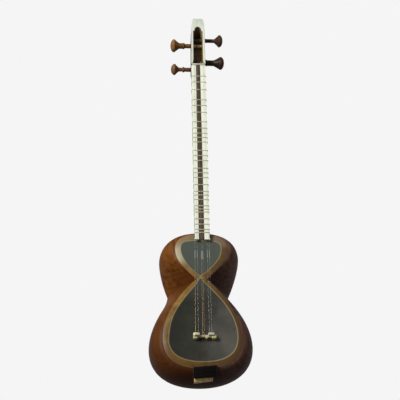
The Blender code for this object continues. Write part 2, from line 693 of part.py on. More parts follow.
def add_pegs(materials, collection):
    """Four turned pegs, each with its origin on its own axis."""
    for name, peg in PEGS.items():
        mesh = bpy.data.meshes.new(name)
        points = [(radius, 0, distance) for radius, distance in peg_profile(peg)]
        mesh.from_pydata(points, [(i, i + 1) for i in range(len(points) - 1)], [])
        thing = add_object(name, mesh, materials[peg["side"]], collection,
                           (0, PEG_DEPTH, below(0) + peg["height"]))
        thing.rotation_euler = (0, math.pi / 2 * peg["side"], 0)
        screw = thing.modifiers.new("turning", "SCREW")
        screw.steps = PEG_STEPS
        screw.render_steps = PEG_STEPS
        screw.use_merge_vertices = True
        screw.merge_threshold = MERGE
        screw.use_smooth_shade = True


def add_tube(name, points, radius, material, collection, location=(0, 0, 0)):
    """A wire along points, with closed ends."""
    curve = bpy.data.curves.new(name, "CURVE")
    curve.dimensions = "3D"
    curve.bevel_depth = radius
    curve.bevel_resolution = 1
    curve.use_fill_caps = True
    spline = curve.splines.new("POLY")
    spline.points.add(len(points) - 1)
    for point, place in zip(spline.points, points):
        point.co = (*place, 1)
    return add_object(name, curve, material, collection, location)


def nut_to_peg(string):
    """Angle of the wire's touching line between the nut's corner and the shaft, and the radii."""
    peg = PEGS[string["peg"]]
    off_nut = GAP + string["radius"]
    off_axis = seat_radius(peg["side"] * string["peg_x"]) + GAP + string["radius"]
    across = PEG_DEPTH + NUT_PROUD
    up = peg["height"] - NUT_HEIGHT
    angle = math.atan2(up, across) + math.acos((off_nut - off_axis) / math.hypot(across, up))
    return angle, off_nut, off_axis


def winding_points(string):
    """The turns of one string on its peg, about the peg's own middle."""
    peg = PEGS[string["peg"]]
    angle, _, _ = nut_to_peg(string)
    pitch = 2 * string["radius"] + WINDING_GAP
    count = round(WINDING_TURNS * LOOP_POINTS)
    points = []
    for i in range(count + 1):
        turn = i / LOOP_POINTS
        x = string["peg_x"] + string["way"] * pitch * (1 + turn)
        radius = seat_radius(peg["side"] * x) + GAP + string["radius"]
        at = angle - 2 * math.pi * turn
        points.append((x, radius * math.cos(at), radius * math.sin(at)))
    return points


def least_gap(points, radius):
    """The least free distance between turns that lie half a turn or more apart."""
    half = LOOP_POINTS // 2
    return min(math.dist(points[i], points[j])
               for i in range(len(points)) for j in range(i + half, len(points))) - 2 * radius


def tail_place(x, along, span, slant):
    """A place on a slanting tail piece."""
    return along - (x - sum(span) / 2) * slant


def string_points(string):
    """One string from its peg, over nut, bridge and tail block, to the bone bar."""
    peg = PEGS[string["peg"]]
    angle, off_nut, off_axis = nut_to_peg(string)
    radius = string["radius"]
    points = []
    for share in (1, 0.5, 0):
        at = angle - math.radians(STRING_WRAP_DEGREES) * share
        points.append((string["peg_x"], PEG_DEPTH + off_axis * math.cos(at),
                       below(0) + peg["height"] + off_axis * math.sin(at)))
    for share in (0, 0.5, 1):
        at = angle + (math.pi - angle) * share
        points.append((string["nut"], -NUT_PROUD + off_nut * math.cos(at),
                       below(0) + NUT_HEIGHT + off_nut * math.sin(at)))
    points.append((string["nut"], -NUT_PROUD - off_nut, below(0)))
    across = string["bridge"]
    left_block, right_cap = BRIDGE_BLOCKS["bridge"], BRIDGE_BLOCKS["bridge_right_cap"]
    on_bar = left_block["x"][1] < across < right_cap["x"][0]
    top = BRIDGE_BAR_Y if on_bar else BRIDGE_TOP_Y
    lift = top - GAP - radius
    points += [(across, lift, below(SCALE_LENGTH)), (across, lift, below(SCALE_LENGTH + BRIDGE_BACK))]
    (edge, edge_y), (foot, foot_y) = BLOCK_SECTION[:2]
    away = GAP + radius
    slope = Vector((foot_y - edge_y, -(foot - edge))).normalized()
    corner = below(tail_place(across, edge, BLOCK_SPAN, BLOCK_SLANT))
    for off_depth, off_height in EDGE_BENDS:
        points.append((across, edge_y - away * off_depth, corner + away * off_height))
    corner = below(tail_place(across, foot, BLOCK_SPAN, BLOCK_SLANT))
    points.append((across, foot_y + slope.y * away, corner - slope.x * away))
    (bar_edge, bar_y), (bar_foot, bar_foot_y) = BAR_SECTION[:2]
    lie = STRING_ON_BAR / (bar_foot - bar_edge)
    points.append((across, bar_y + (bar_foot_y - bar_y) * lie - away * EDGE_BENDS[0][0],
                   below(tail_place(across, bar_edge + STRING_ON_BAR, BAR_SPAN, BAR_SLANT))))
    return points


def add_strings(material, collection):
    """Six strings, and the turns of each on its peg."""
    for number, string in enumerate(STRINGS, start=1):
        peg = PEGS[string["peg"]]
        turns = winding_points(string)
        print(f"winding_{number} least gap to itself: {least_gap(turns, string['radius']) * 1000:.2f} mm")
        add_tube(f"winding_{number}", turns, string["radius"], material, collection,
                 (0, PEG_DEPTH, below(0) + peg["height"]))
        add_tube(f"string_{number}", string_points(string), string["radius"], material, collection)


def rounded_block(name, block, rounding):
    """A box with rounded edges, given by its limits."""
    bm = bmesh.new()
    bmesh.ops.create_cube(bm, size=1)
    limits = (block["x"], block["y"], sorted(below(SCALE_LENGTH + along) for along in block["along"]))
    for vert in bm.verts:
        vert.co = [low + (high - low) * (share + 0.5) for share, (low, high) in zip(vert.co, limits)]
    bmesh.ops.bevel(bm, geom=bm.edges, offset=rounding, segments=2, profile=0.5, affect="EDGES")
    return mesh_from(name, bm)


def add_bridge(material, collection, cutters):
    """The bridge: two raised blocks, the low bar between them and its feet, in one piece."""
    bridge = None
    for name, block in BRIDGE_BLOCKS.items():
        rounding = BRIDGE_BAR_ROUNDING if name == "bridge_bar" else BRIDGE_ROUNDING
        mesh = rounded_block(name, block, rounding)
        if bridge is None:
            bridge = add_object(name, mesh, material, collection)
        else:
            cut_with(bridge, add_cutter(name, mesh, cutters), "UNION")


def tail_piece(name, section, span, slant, plug, material, collection):
    """A piece across the bowl's lower edge, seated on the bowl's own curve."""
    ends = []
    for x in span:
        ends.append([(x, y, below(tail_place(x, along, span, slant))) for along, y in section])
    piece = add_object(name, loft(name, ends), material, collection)
    cut_with(piece, plug)


def build():
    """The whole instrument."""
    clear_scene()
    parts = new_collection("persian_tar")
    cutters = new_collection("cutters")
    mulberry = make_material("mulberry", srgb(92, 48, 24), 0.28)
    walnut = make_material("walnut", srgb(74, 52, 36), 0.45)
    bone = make_material("bone", srgb(219, 218, 197), 0.35)
    dark_strip = make_material("dark_strip", srgb(84, 72, 60), 0.45)
    gut = make_material("gut", srgb(199, 201, 165), 0.40)
    skin = make_material("skin", srgb(96, 94, 78), 0.45)
    wire = make_material("wire", srgb(190, 186, 170), 0.25, 1.0)
    peg_light = make_material("peg_light", srgb(132, 88, 46), 0.35)
    peg_dark = make_material("peg_dark", srgb(72, 47, 34), 0.35)
    ebony = make_material("ebony", srgb(26, 19, 19), 0.35)
    horn = make_material("horn", srgb(150, 125, 66), 0.35)

    plug = add_cutter("bowl_plug", bowl_plug(), cutters)
    for name, side in (("body_half_left", -1), ("body_half_right", 1)):
        add_object(name, body_half(side), mulberry, parts)
    add_skins(skin, parts)
    add_neck(walnut, bone, dark_strip, plug, parts)
    add_nut(bone, parts)
    add_frets(gut, parts)
    add_pegbox(walnut, bone, parts, cutters)
    add_pegs({-1: peg_light, 1: peg_dark}, parts)
    add_strings(wire, parts)
    add_bridge(bone, parts, cutters)
    tail_piece("tail_block", BLOCK_SECTION, BLOCK_SPAN, BLOCK_SLANT, plug, ebony, parts)
    tail_piece("tail_bone_bar", BAR_SECTION, BAR_SPAN, BAR_SLANT, plug, horn, parts)


build()
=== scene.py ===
import math

import bmesh
import bpy
from mathutils import Matrix, Vector


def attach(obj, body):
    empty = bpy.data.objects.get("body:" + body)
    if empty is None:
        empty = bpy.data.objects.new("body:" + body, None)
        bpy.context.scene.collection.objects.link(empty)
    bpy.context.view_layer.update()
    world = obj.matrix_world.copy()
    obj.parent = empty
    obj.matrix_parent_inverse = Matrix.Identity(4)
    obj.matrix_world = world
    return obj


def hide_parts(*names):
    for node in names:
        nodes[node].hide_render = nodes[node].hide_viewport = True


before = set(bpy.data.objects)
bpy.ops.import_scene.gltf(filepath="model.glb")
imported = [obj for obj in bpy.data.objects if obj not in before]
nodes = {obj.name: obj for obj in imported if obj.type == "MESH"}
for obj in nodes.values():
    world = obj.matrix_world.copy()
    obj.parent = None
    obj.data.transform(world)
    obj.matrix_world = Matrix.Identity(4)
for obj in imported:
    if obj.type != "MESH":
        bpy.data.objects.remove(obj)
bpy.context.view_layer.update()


# THE BOWL
# Two halves carved from old mulberry and glued along the middle, with a wall of about six
# millimetres. The rims of the two openings lie nearly flat, so that the skins can be glued on.
NUT_DROP = 0.1418
RIM_INNER_Y = 0.0100
RIM_OUTER_Y = 0.0125
WALL = 0.0060
GLUE_LINE = 0.00015
OUTLINE_STEPS = 26
ARC_STEPS = 16
BAND_TIP = (0.0114, 0.5591)
UPPER_RIM = dict(end=0.4550, wide=(0.0550, 0.4896), tip=BAND_TIP,
                 end_pull=(0.607, 0.681), tip_pull=(0.455, 0.383, 0.268))
UPPER_OPENING = dict(end=0.4726, wide=(0.0424, 0.4924), tip=(0.0, 0.5518),
                     end_pull=(0.88, 0.88), tip_pull=(0.36, 0.395, 0.15))
LOWER_RIM = dict(end=0.7447, wide=(0.0782, 0.6815), tip=BAND_TIP,
                 end_pull=(0.575, 0.752), tip_pull=(0.407, 0.391, 0.184))
LOWER_OPENING = dict(end=0.7312, wide=(0.0678, 0.6838), tip=(0.0, 0.5565),
                     end_pull=(0.690, 0.640), tip_pull=(0.475, 0.384, 0.289))
WEB_POINT = (0.0, 0.5540)
WEB_DEPTH = 0.0210
SIDE_TOP = 0.4444
SIDE_UPPER = (0.0856, 0.4900)
SIDE_WAIST = (0.0655, 0.5595)
SIDE_LOWER = (0.1053, 0.6851)
SIDE_BOTTOM = 0.7615
TOP_PULLS = (0.565, 0.716)
UPPER_WAIST_PULLS = (0.200, 0.610, 0.3725)
LOWER_WAIST_PULLS = (0.050, 0.272, 0.403)
BOTTOM_PULLS = (0.6565, 0.587)
WAIST_STRAIGHTNESS = 0.75
WAIST_REACH = 0.5
SIDE_DEPTHS = (0.0765, 0.0850, 0.1120, 0.0800, 0.0680)
BACK_DEPTHS = (0.1480, 0.1500, 0.1360, 0.1760, 0.1760)
SPINE_PLACES = (0.4780, 0.5000, 0.5600, 0.6650, 0.6900)
SIDE_DRIFTS = (-0.0022, -0.0016, -0.0026, 0.0, -0.0034)
MERGE = 0.000002


def below(distance):
    """Height of a place given as its distance below the nut."""
    return -NUT_DROP - distance


def rgb(red, green, blue):
    """A colour of 0 to 255 as linear values."""
    shares = [c / 255 for c in (red, green, blue)]
    return tuple(s / 12.92 if s <= 0.04045 else ((s + 0.055) / 1.055) ** 2.4 for s in shares) + (1.0,)


class Value:
    """A number that varies over a surface. Arithmetic on it adds Math nodes."""

    def __init__(self, finish, socket):
        self.finish = finish
        self.socket = socket

    def maths(self, operation, *terms):
        return self.finish.node("ShaderNodeMath", dict(operation=operation), dict(enumerate(terms)))

    def __add__(self, other):
        return self.maths("ADD", self, other)

    def __sub__(self, other):
        return self.maths("SUBTRACT", self, other)

    def __rsub__(self, other):
        return self.maths("SUBTRACT", other, self)

    def __mul__(self, other):
        return self.maths("MULTIPLY", self, other)

    def __abs__(self):
        return self.maths("ABSOLUTE", self)

    __radd__ = __add__
    __rmul__ = __mul__

    def rise(self, low, high):
        """0 at low, 1 at high, and a smooth step between them."""
        return self.finish.node("ShaderNodeMapRange", dict(interpolation_type="SMOOTHSTEP"),
                                {0: self, 1: low, 2: high, 3: 0.0, 4: 1.0})


class Finish:
    """A material under construction."""

    def __init__(self, name, **constants):
        self.material = bpy.data.materials.new(name)
        self.material.use_nodes = True
        self.tree = self.material.node_tree
        self.shader = self.tree.nodes["Principled BSDF"]
        for socket, value in constants.items():
            self.shader.inputs[socket.replace("_", " ")].default_value = value

    def node(self, kind, settings=None, sockets=None, output=0):
        """Adds a node: its settings first, then its sockets' values and links."""
        made = self.tree.nodes.new(kind)
        for setting, value in (settings or {}).items():
            if setting == "stops":
                while len(made.color_ramp.elements) < len(value):
                    made.color_ramp.elements.new(0.5)
                for element, (place, colour) in zip(made.color_ramp.elements, value):
                    element.position = place
                    element.color = colour
            else:
                setattr(made, setting, value)
        for socket, value in (sockets or {}).items():
            if isinstance(value, Value):
                self.tree.links.new(value.socket, made.inputs[socket])
            else:
                made.inputs[socket].default_value = value
        return Value(self, made.outputs[output])

    def place(self, scale=(1, 1, 1)):
        """The place on the instrument, scaled along each axis."""
        return self.node("ShaderNodeMapping", None, {"Vector": self.node("ShaderNodeTexCoord", output=3),
                                                     "Scale": scale})

    def axes(self):
        """The place's x, y and z."""
        return [self.node("ShaderNodeSeparateXYZ", None, {0: self.place()}, output=axis) for axis in (0, 1, 2)]

    def noise(self, scale, stretch=(1, 1, 1), detail=3.0, roughness=0.5):
        return self.node("ShaderNodeTexNoise", None, {"Vector": self.place(stretch), "Scale": scale,
                                                      "Detail": detail, "Roughness": roughness})

    def ramp(self, value, *stops):
        return self.node("ShaderNodeValToRGB", dict(stops=stops), {0: value})

    def mix(self, mask, first, second):
        return self.node("ShaderNodeMix", dict(data_type="RGBA"), {0: mask, 6: first, 7: second}, output=2)

    def painted(self, name):
        """A number painted on the mesh under a name."""
        return self.node("ShaderNodeAttribute", dict(attribute_name=name), output=2)

    def feed(self, socket, value):
        self.tree.links.new(value.socket, self.shader.inputs[socket])

    def paint(self, colour):
        """The base colour, kept so that more can be laid over it."""
        self.base = colour
        self.feed("Base Color", colour)

    def over(self, mask, colour):
        """Another colour over the base colour, as far as a mask goes."""
        self.paint(self.mix(mask, self.base, colour))

    def bump(self, height, strength, distance=0.0004):
        self.feed("Normal", self.node("ShaderNodeBump", None,
                                      {"Height": height, "Strength": strength, "Distance": distance}))


def make_piece(name, data, finish, stands_for=(), body="root"):
    """A piece with its finish, riding its body and standing for CAD nodes."""
    data.materials.clear()
    data.materials.append(finish.material)
    piece = bpy.data.objects.new(name, data)
    bpy.context.scene.collection.objects.link(piece)
    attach(piece, body)
    if stands_for:
        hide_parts(*stands_for)
    return piece


def to_mesh(name, bm, crease=35):
    """The mesh of a bmesh, faces out, smooth up to an angle."""
    bmesh.ops.recalc_face_normals(bm, faces=bm.faces)
    mesh = bpy.data.meshes.new(name)
    bm.to_mesh(mesh)
    bm.free()
    mesh.shade_smooth()
    mesh.set_sharp_from_angle(angle=math.radians(crease))
    return mesh


def bezier(start, pull_start, pull_end, end, steps):
    """Points along a cubic curve."""
    points = []
    for i in range(steps + 1):
        t = i / steps
        weights = ((1 - t) ** 3, 3 * (1 - t) ** 2 * t, 3 * (1 - t) * t * t, t ** 3)
        points.append(tuple(sum(w * p[axis] for w, p in zip(weights, (start, pull_start, pull_end, end)))
                            for axis in (0, 1)))
    return points


def lobe_outline(end, wide, tip, end_pull, tip_pull, second_steps=OUTLINE_STEPS):
    """Half outline of a lobe, from its far end round the widest point to the tip."""
    first = bezier((0, end), (wide[0] * end_pull[0], end),
                   (wide[0], wide[1] + (end - wide[1]) * end_pull[1]), wide, OUTLINE_STEPS)
    second = bezier(wide, (wide[0], wide[1] + (tip[1] - wide[1]) * tip_pull[0]),
                    (tip[0] + (wide[0] - tip[0]) * tip_pull[1], wide[1] + (tip[1] - wide[1]) * (1 - tip_pull[2])),
                    tip, second_steps)
    return first[:-1] + second


rim = lobe_outline(**UPPER_RIM) + lobe_outline(**LOWER_RIM)[-2::-1]
upper_opening = lobe_outline(**UPPER_OPENING, second_steps=OUTLINE_STEPS - 1)
lower_opening = lobe_outline(**LOWER_OPENING, second_steps=OUTLINE_STEPS - 1)
inner_rim = upper_opening + [WEB_POINT] + lower_opening[::-1]
waist = 2 * OUTLINE_STEPS


def side_outline(inset=0.0):
    """The bowl's widest outline, from the top to the bottom."""
    upper, middle, lower = SIDE_UPPER, SIDE_WAIST, SIDE_LOWER
    upper_drop = middle[1] - upper[1]
    lower_drop = lower[1] - middle[1]
    first = bezier((0, SIDE_TOP), (upper[0] * TOP_PULLS[0], SIDE_TOP),
                   (upper[0], upper[1] - (upper[1] - SIDE_TOP) * TOP_PULLS[1]), upper, OUTLINE_STEPS)
    second = bezier(upper, (upper[0], upper[1] + upper_drop * UPPER_WAIST_PULLS[0]),
                    (middle[0] + (upper[0] - middle[0]) * UPPER_WAIST_PULLS[1],
                     middle[1] - upper_drop * UPPER_WAIST_PULLS[2]), middle, OUTLINE_STEPS)
    third = bezier(middle, (middle[0] + (lower[0] - middle[0]) * LOWER_WAIST_PULLS[0],
                            middle[1] + lower_drop * LOWER_WAIST_PULLS[1]),
                   (lower[0], lower[1] - lower_drop * LOWER_WAIST_PULLS[2]), lower, OUTLINE_STEPS)
    fourth = bezier(lower, (lower[0], lower[1] + (SIDE_BOTTOM - lower[1]) * BOTTOM_PULLS[0]),
                    (lower[0] * BOTTOM_PULLS[1], SIDE_BOTTOM), (0, SIDE_BOTTOM), OUTLINE_STEPS)
    outline = first[:-1] + second[:-1] + third[:-1] + fourth
    moved = []
    for i, (x, along) in enumerate(outline):
        before = outline[max(i - 1, 0)]
        after = outline[min(i + 1, len(outline) - 1)]
        way = Vector((after[1] - before[1], before[0] - after[0])).normalized()
        if x == 0:
            way = Vector((0, -1 if i == 0 else 1))
        moved.append((x - way.x * inset, along - way.y * inset))
    return moved


def share_along(values, place):
    """A value between the five stations of the bowl."""
    i = min(int(place), len(values) - 2)
    return values[i] + (values[i + 1] - values[i]) * (place - i)


def bowl_sheet(side, least, start_line, depths, widest, back_inset=0.0):
    """Rows of points on one side, from the rim, round the widest line, to the spine."""
    rows = []
    for i, (start, wide) in enumerate(zip(start_line, widest)):
        place = i / OUTLINE_STEPS
        straight = WAIST_STRAIGHTNESS * math.exp(-((place - 2) / WAIST_REACH) ** 2)
        side_y = share_along(SIDE_DEPTHS, place)
        back_y = share_along(BACK_DEPTHS, place) - back_inset
        spine = share_along(SPINE_PLACES, place)
        drift = share_along(SIDE_DRIFTS, int(place) + (3 - 2 * (place % 1)) * (place % 1) ** 2)
        row = []
        for j in range(ARC_STEPS + 1):
            turn = math.pi / 2 * j / ARC_STEPS
            out = math.sin(turn)
            deep = (1 - straight) * (1 - math.cos(turn)) + straight * out
            row.append((side * max(start[0] + (wide[0] - start[0]) * out, least) + drift * out,
                        depths[i] + (side_y - depths[i]) * deep,
                        below(start[1] + (wide[1] - start[1]) * out)))
        for j in range(1, ARC_STEPS + 1):
            turn = math.pi / 2 * j / ARC_STEPS
            out = math.cos(turn)
            row.append((side * max(wide[0] * out, least) + drift * out, side_y + (back_y - side_y) * math.sin(turn),
                        below(spine + (wide[1] - spine) * out)))
        rows.append(row)
    return rows


def fill_between(bm, rows):
    """Faces between neighbouring rows of points."""
    for row, following in zip(rows, rows[1:]):
        for j in range(len(row) - 1):
            bm.faces.new((row[j], following[j], following[j + 1], row[j + 1]))


def bowl_half(side):
    """One carved half, closed along the middle of the instrument."""
    inner_depths = [RIM_INNER_Y] * len(inner_rim)
    inner_depths[waist] = WEB_DEPTH
    bm = bmesh.new()
    out, into = [[[bm.verts.new(point) for point in row] for row in sheet] for sheet in (
        bowl_sheet(side, GLUE_LINE, rim, [RIM_OUTER_Y] * len(rim), side_outline()),
        bowl_sheet(side, GLUE_LINE, inner_rim, inner_depths, side_outline(WALL), WALL))]
    fill_between(bm, out)
    fill_between(bm, into)
    last_row = len(out) - 1
    for i in range(last_row):
        bm.faces.new((out[i][-1], out[i + 1][-1], into[i + 1][-1], into[i][-1]))
        if i not in (waist - 1, waist):
            bm.faces.new((out[i][0], out[i + 1][0], into[i + 1][0], into[i][0]))
    bm.faces.new((out[waist - 1][0], out[waist][0], into[waist - 1][0]))
    bm.faces.new((out[waist][0], into[waist + 1][0], into[waist - 1][0]))
    bm.faces.new((out[waist][0], out[waist + 1][0], into[waist + 1][0]))
    bm.faces.new((into[waist - 1][0], into[waist + 1][0], into[waist][0]))
    for i in (0, last_row):
        fill_between(bm, [out[i], into[i]])
    return to_mesh("bowl_half", bm)


def mulberry_finish(name, dark, middle, light, lean):
    """Varnished mulberry: growth rings cut by the carving and fine pores, with painted shade at the waist and towards
    the bottom.
    """
    finish = Finish(name, Coat_Weight=0.03, Coat_Roughness=0.3, Specular_IOR_Level=0.06)
    x, y, z = finish.axes()
    wander = finish.noise(16, (1, 1, 0.35)) * 0.05
    rings = x.maths("SINE", (x * lean + y * 0.8 + wander) * 640)
    streaks = finish.noise(120, (1, 1, 0.06), detail=6, roughness=0.62)
    pores = finish.noise(700, (1, 1, 0.10), detail=2)
    clouds = finish.noise(14, (1, 1, 0.6), detail=4, roughness=0.6)
    tone = rings * 0.03 + streaks * 0.36 + pores * 0.13 + clouds * 0.36 + 0.06
    finish.paint(finish.ramp(tone, (0.34, rgb(*dark)), (0.50, rgb(*middle)), (0.68, rgb(*light))))
    # Painted shade: darker near the middle below the upper lobe, in the crease of the waist.
    finish.over((1 - abs(x).rise(0.020, 0.070)) * (1 - z.rise(-0.680, -0.630)) * 0.75, rgb(*dark))
    # Painted shade: darker towards the bottom, more so on the left half, and darkest at the very bottom.
    finish.over((0 - z).rise(0.72, 0.80) * (0.46 + lean * 0.22), rgb(*dark))
    finish.over((0 - z).rise(0.80, 0.91) * 0.35, rgb(46, 28, 22))
    finish.feed("Roughness", 0.40 + clouds * 0.14 + pores * 0.05)
    finish.bump(rings * 0.10 + streaks * 0.5 + pores * 0.3, 0.10)
    return finish


make_piece("carved_half_left", bowl_half(-1),
           mulberry_finish("mulberry_left", (66, 32, 6), (112, 65, 21), (140, 88, 36), 1.0),
           ["body_half_left"])
# The right half's greyer, purpler colours are painted shade and reflection for the side turned away from the lamp.
make_piece("carved_half_right", bowl_half(1),
           mulberry_finish("mulberry_right", (50, 28, 25), (108, 77, 64), (132, 98, 82), -1.0),
           ["body_half_right"])


# THE SKINS
# Two lambskin membranes, glued wet over the rims, shrink drum-tight. Over the wood of the
# rim the skin looks honey-coloured, and over the hollow bowl it looks dark grey-green.
SKIN_THICKNESS = 0.0005
SKIN_LIFT = 0.0002
SKIN_INSET = 0.0006
SKIN_SEAM = 0.5541
SEAM_GAP = 0.0003
BAND_SHARES = (0.0, 0.05, 0.12, 0.35, 0.65, 0.86, 0.95, 1.0)
BAND_CROWN = 0.0005
HOLLOW_SHARES = (0.03, 0.08, 0.25, 0.55)
RING_SQUASH = 0.55
OPENING_LEAN = ((0.4726, -0.0006), (0.5080, -0.0008), (0.5541, -0.0026), (0.5830, 0.0000), (0.6107, 0.0013),
                (0.6779, 0.0020), (0.6946, 0.0010), (0.7312, 0.0004))


def band_depth(share, lift):
    """Depth of the skin over the rim, at a share of the rim's width from outside."""
    return RIM_OUTER_Y + (RIM_INNER_Y - RIM_OUTER_Y) * share - lift - BAND_CROWN * math.sin(math.pi * share)


def opening_lean(along):
    """How far a carver's hand took the opening off the middle at a place."""
    for (above, before), (beneath, after) in zip(OPENING_LEAN, OPENING_LEAN[1:]):
        if along < beneath:
            share = max(along - above, 0) / (beneath - above)
            return before + (after - before) * share * share * (3 - 2 * share)
    return OPENING_LEAN[-1][1]


def skin_rim(line):
    """The skin's edge: the band's edge drawn in a little all round."""
    middle = sum(p[1] for p in line) / len(line)
    drawn = []
    for x, along in line:
        way = Vector((x, along - middle)).normalized()
        drawn.append((max(x - way.x * SKIN_INSET, 0), along - way.y * SKIN_INSET))
    return drawn


def skin_mesh(edge_line, opening, seam):
    """One skin with both its sides, and its band and edges painted for the finish."""
    bm = bmesh.new()
    over_wood = bm.verts.layers.float.new("over_wood")
    inner_edge = bm.verts.layers.float.new("inner_edge")
    outer_edge = bm.verts.layers.float.new("outer_edge")
    middle = sum(p[1] for p in opening) / len(opening)

    def add(x, along, y, wood, inner, outer):
        vert = bm.verts.new((x, y, below(along)))
        vert[over_wood], vert[inner_edge], vert[outer_edge] = wood, inner, outer
        return vert

    def ring(share, inwards, mirror, lift):
        """Points at a share of the band's width, or further in over the hollow."""
        verts = []
        for (edge_x, edge_along), (open_x, open_along) in zip(edge_line, opening):
            x = edge_x + (open_x - edge_x) * share
            along = edge_along + (open_along - edge_along) * share
            verts.append(add(mirror * x * (1 - inwards) + opening_lean(open_along) * share,
                             along + (middle - along) * inwards * RING_SQUASH,
                             band_depth(share, lift), float(inwards == 0),
                             max(1 - (1 - share) / 0.12, 0) * float(inwards == 0), max(1 - share / 0.10, 0)))
        return verts

    steps = [(share, 0) for share in BAND_SHARES] + [(1, share) for share in HOLLOW_SHARES]
    edges = {}
    for lift in (SKIN_LIFT, SKIN_LIFT + SKIN_THICKNESS):
        cores = []
        for mirror in (1, -1):
            rings = [ring(share, inwards, mirror, lift) for share, inwards in steps]
            fill_between(bm, rings)
            cores.append(rings[-1])
            corner = add(mirror * edge_line[-1][0], edge_line[-1][1], RIM_OUTER_Y - lift, 1, 0, 1)
            apex = add(opening_lean(seam), seam, RIM_INNER_Y - lift, 1, 1, 0)
            chain = [line[-1] for line in rings[:len(BAND_SHARES)]]
            for near, far in zip(chain, chain[1:]):
                bm.faces.new((corner, near, far))
            bm.faces.new((corner, chain[-1], apex))
            edges[lift, mirror] = rings[0] + [corner, apex]
        fill_between(bm, cores)
    for mirror in (1, -1):
        fill_between(bm, [edges[SKIN_LIFT, mirror], edges[SKIN_LIFT + SKIN_THICKNESS, mirror]])
    bmesh.ops.remove_doubles(bm, verts=bm.verts, dist=0.00001)
    return to_mesh("lambskin", bm, crease=60)


def skin_finish():
    """Drum skin: darker and greener over the hollow, honey over the wood, pale at the inner lip, with painted
    reflection, painted shade and painted highlights.
    """
    finish = Finish("lambskin", Coat_Weight=0.03, Coat_Roughness=0.3, Specular_IOR_Level=0.12)
    x, y, z = finish.axes()
    soft = finish.noise(26, detail=4, roughness=0.6)
    stains = finish.noise(75, detail=4, roughness=0.65)
    pores = finish.noise(900, detail=2)
    right = x.rise(-0.06, 0.06)
    # Painted reflection: the skin over the hollow is lighter to the right, more so low down, and lighter and greener
    # towards the top.
    hollow = finish.ramp(soft * 0.4 + pores * 0.12 + right * (0.26 + (0 - z).rise(0.76, 0.83) * 0.12) + 0.05,
                         (0.30, rgb(38, 39, 33)), (0.48, rgb(54, 53, 46)), (0.72, rgb(90, 87, 80)))
    hollow = finish.mix(z.rise(-0.76, -0.66) * 0.75, hollow, rgb(84, 91, 83))
    honey = finish.ramp(stains * 0.6 + pores * 0.25 + soft * 0.15,
                        (0.34, rgb(92, 66, 24)), (0.50, rgb(122, 92, 40)), (0.66, rgb(150, 120, 58)))
    # Painted shade: the band is darker towards the bottom and on the right.
    honey = finish.mix((0 - z).rise(0.74, 0.84) * 0.6, honey, rgb(78, 55, 20))
    honey = finish.mix(right * 0.80, honey, rgb(84, 62, 40))
    honey = finish.mix(z.rise(-0.634, -0.620) * 0.6, honey, rgb(134, 120, 98))
    # Painted highlight: a pale patch on the left of the upper band.
    honey = finish.mix(z.rise(-0.674, -0.652) * (1 - z.rise(-0.638, -0.616)) * (1 - x.rise(-0.045, -0.015)) * 0.8,
                       honey, rgb(172, 166, 138))
    finish.paint(finish.mix(finish.painted("over_wood"), hollow, honey))
    finish.over(finish.painted("inner_edge") * (0.40 + right * 0.45), rgb(162, 148, 114))
    # Painted highlight: a pale line along the skin's outer lip.
    finish.over(finish.painted("outer_edge") * 0.30, rgb(130, 108, 90))
    finish.feed("Roughness", 0.34 + soft * 0.12)
    finish.bump(stains * 0.5 + pores * 0.4, 0.10, 0.0002)
    return finish


lambskin = skin_finish()
upper_edge = skin_rim(rim[:waist + 1])
lower_edge = skin_rim(rim[:waist - 1:-1])
upper_edge[-1] = (BAND_TIP[0] - SKIN_INSET, BAND_TIP[1] - SKIN_INSET)
lower_edge[-1] = (BAND_TIP[0] - SKIN_INSET, BAND_TIP[1])
make_piece("lambskin_upper", skin_mesh(upper_edge, upper_opening, SKIN_SEAM - SEAM_GAP),
           lambskin, ["skin_upper"])
make_piece("lambskin_lower", skin_mesh(lower_edge, lower_opening, SKIN_SEAM + SEAM_GAP),
           lambskin, ["skin_lower"])


# THE NECK
# One length of walnut with a round back, oiled by hands. Its heel is let onto the bowl's
# shoulder, and a tongue of it runs on over the edge of the upper skin.
NECK_HALF_WIDTH_NUT = 0.0172
NECK_HALF_WIDTH_BODY = 0.0153
NECK_LEAN = 0.0020
NECK_DEPTH_NUT = 0.0340
NECK_DEPTH_BODY = 0.0400
NECK_STRAIGHT_SIDE = 0.0045
NECK_ROUND_STEPS = 28
NECK_END = 0.4697
NECK_RINGS = 24
BOARD_THICKNESS = 0.0030
SEAT_LIFT = 0.0008


def work(mesh, *modifiers):
    """A mesh worked by modifiers, each given as its type and its settings."""
    thing = bpy.data.objects.new(mesh.name, mesh)
    bpy.context.scene.collection.objects.link(thing)
    for kind, settings in modifiers:
        modifier = thing.modifiers.new(kind.lower(), kind)
        for setting, value in settings.items():
            setattr(modifier, setting, value)
    bpy.context.view_layer.update()
    worked = bpy.data.meshes.new_from_object(thing.evaluated_get(bpy.context.evaluated_depsgraph_get()))
    worked.name = mesh.name
    bpy.data.objects.remove(thing)
    return worked


def eased(mesh, width, segments=2):
    """A mesh with its sharp edges rounded off."""
    mesh = work(mesh, ("BEVEL", dict(width=width, segments=segments, limit_method="ANGLE",
                                     angle_limit=math.radians(30), miter_outer="MITER_ARC")))
    mesh.shade_smooth()
    mesh.set_sharp_from_angle(angle=math.radians(35))
    return mesh


def carved(mesh, *cutters, operation="DIFFERENCE", crease=35):
    """A mesh cut by, or joined with, other meshes."""
    tools = []
    for cutter in cutters:
        tool = bpy.data.objects.new(cutter.name, cutter)
        bpy.context.scene.collection.objects.link(tool)
        tools.append(tool)
    mesh = work(mesh, *[("BOOLEAN", dict(operation=operation, solver="EXACT", object=tool)) for tool in tools])
    for tool in tools:
        bpy.data.objects.remove(tool)
    mesh.shade_smooth()
    mesh.set_sharp_from_angle(angle=math.radians(crease))
    return mesh


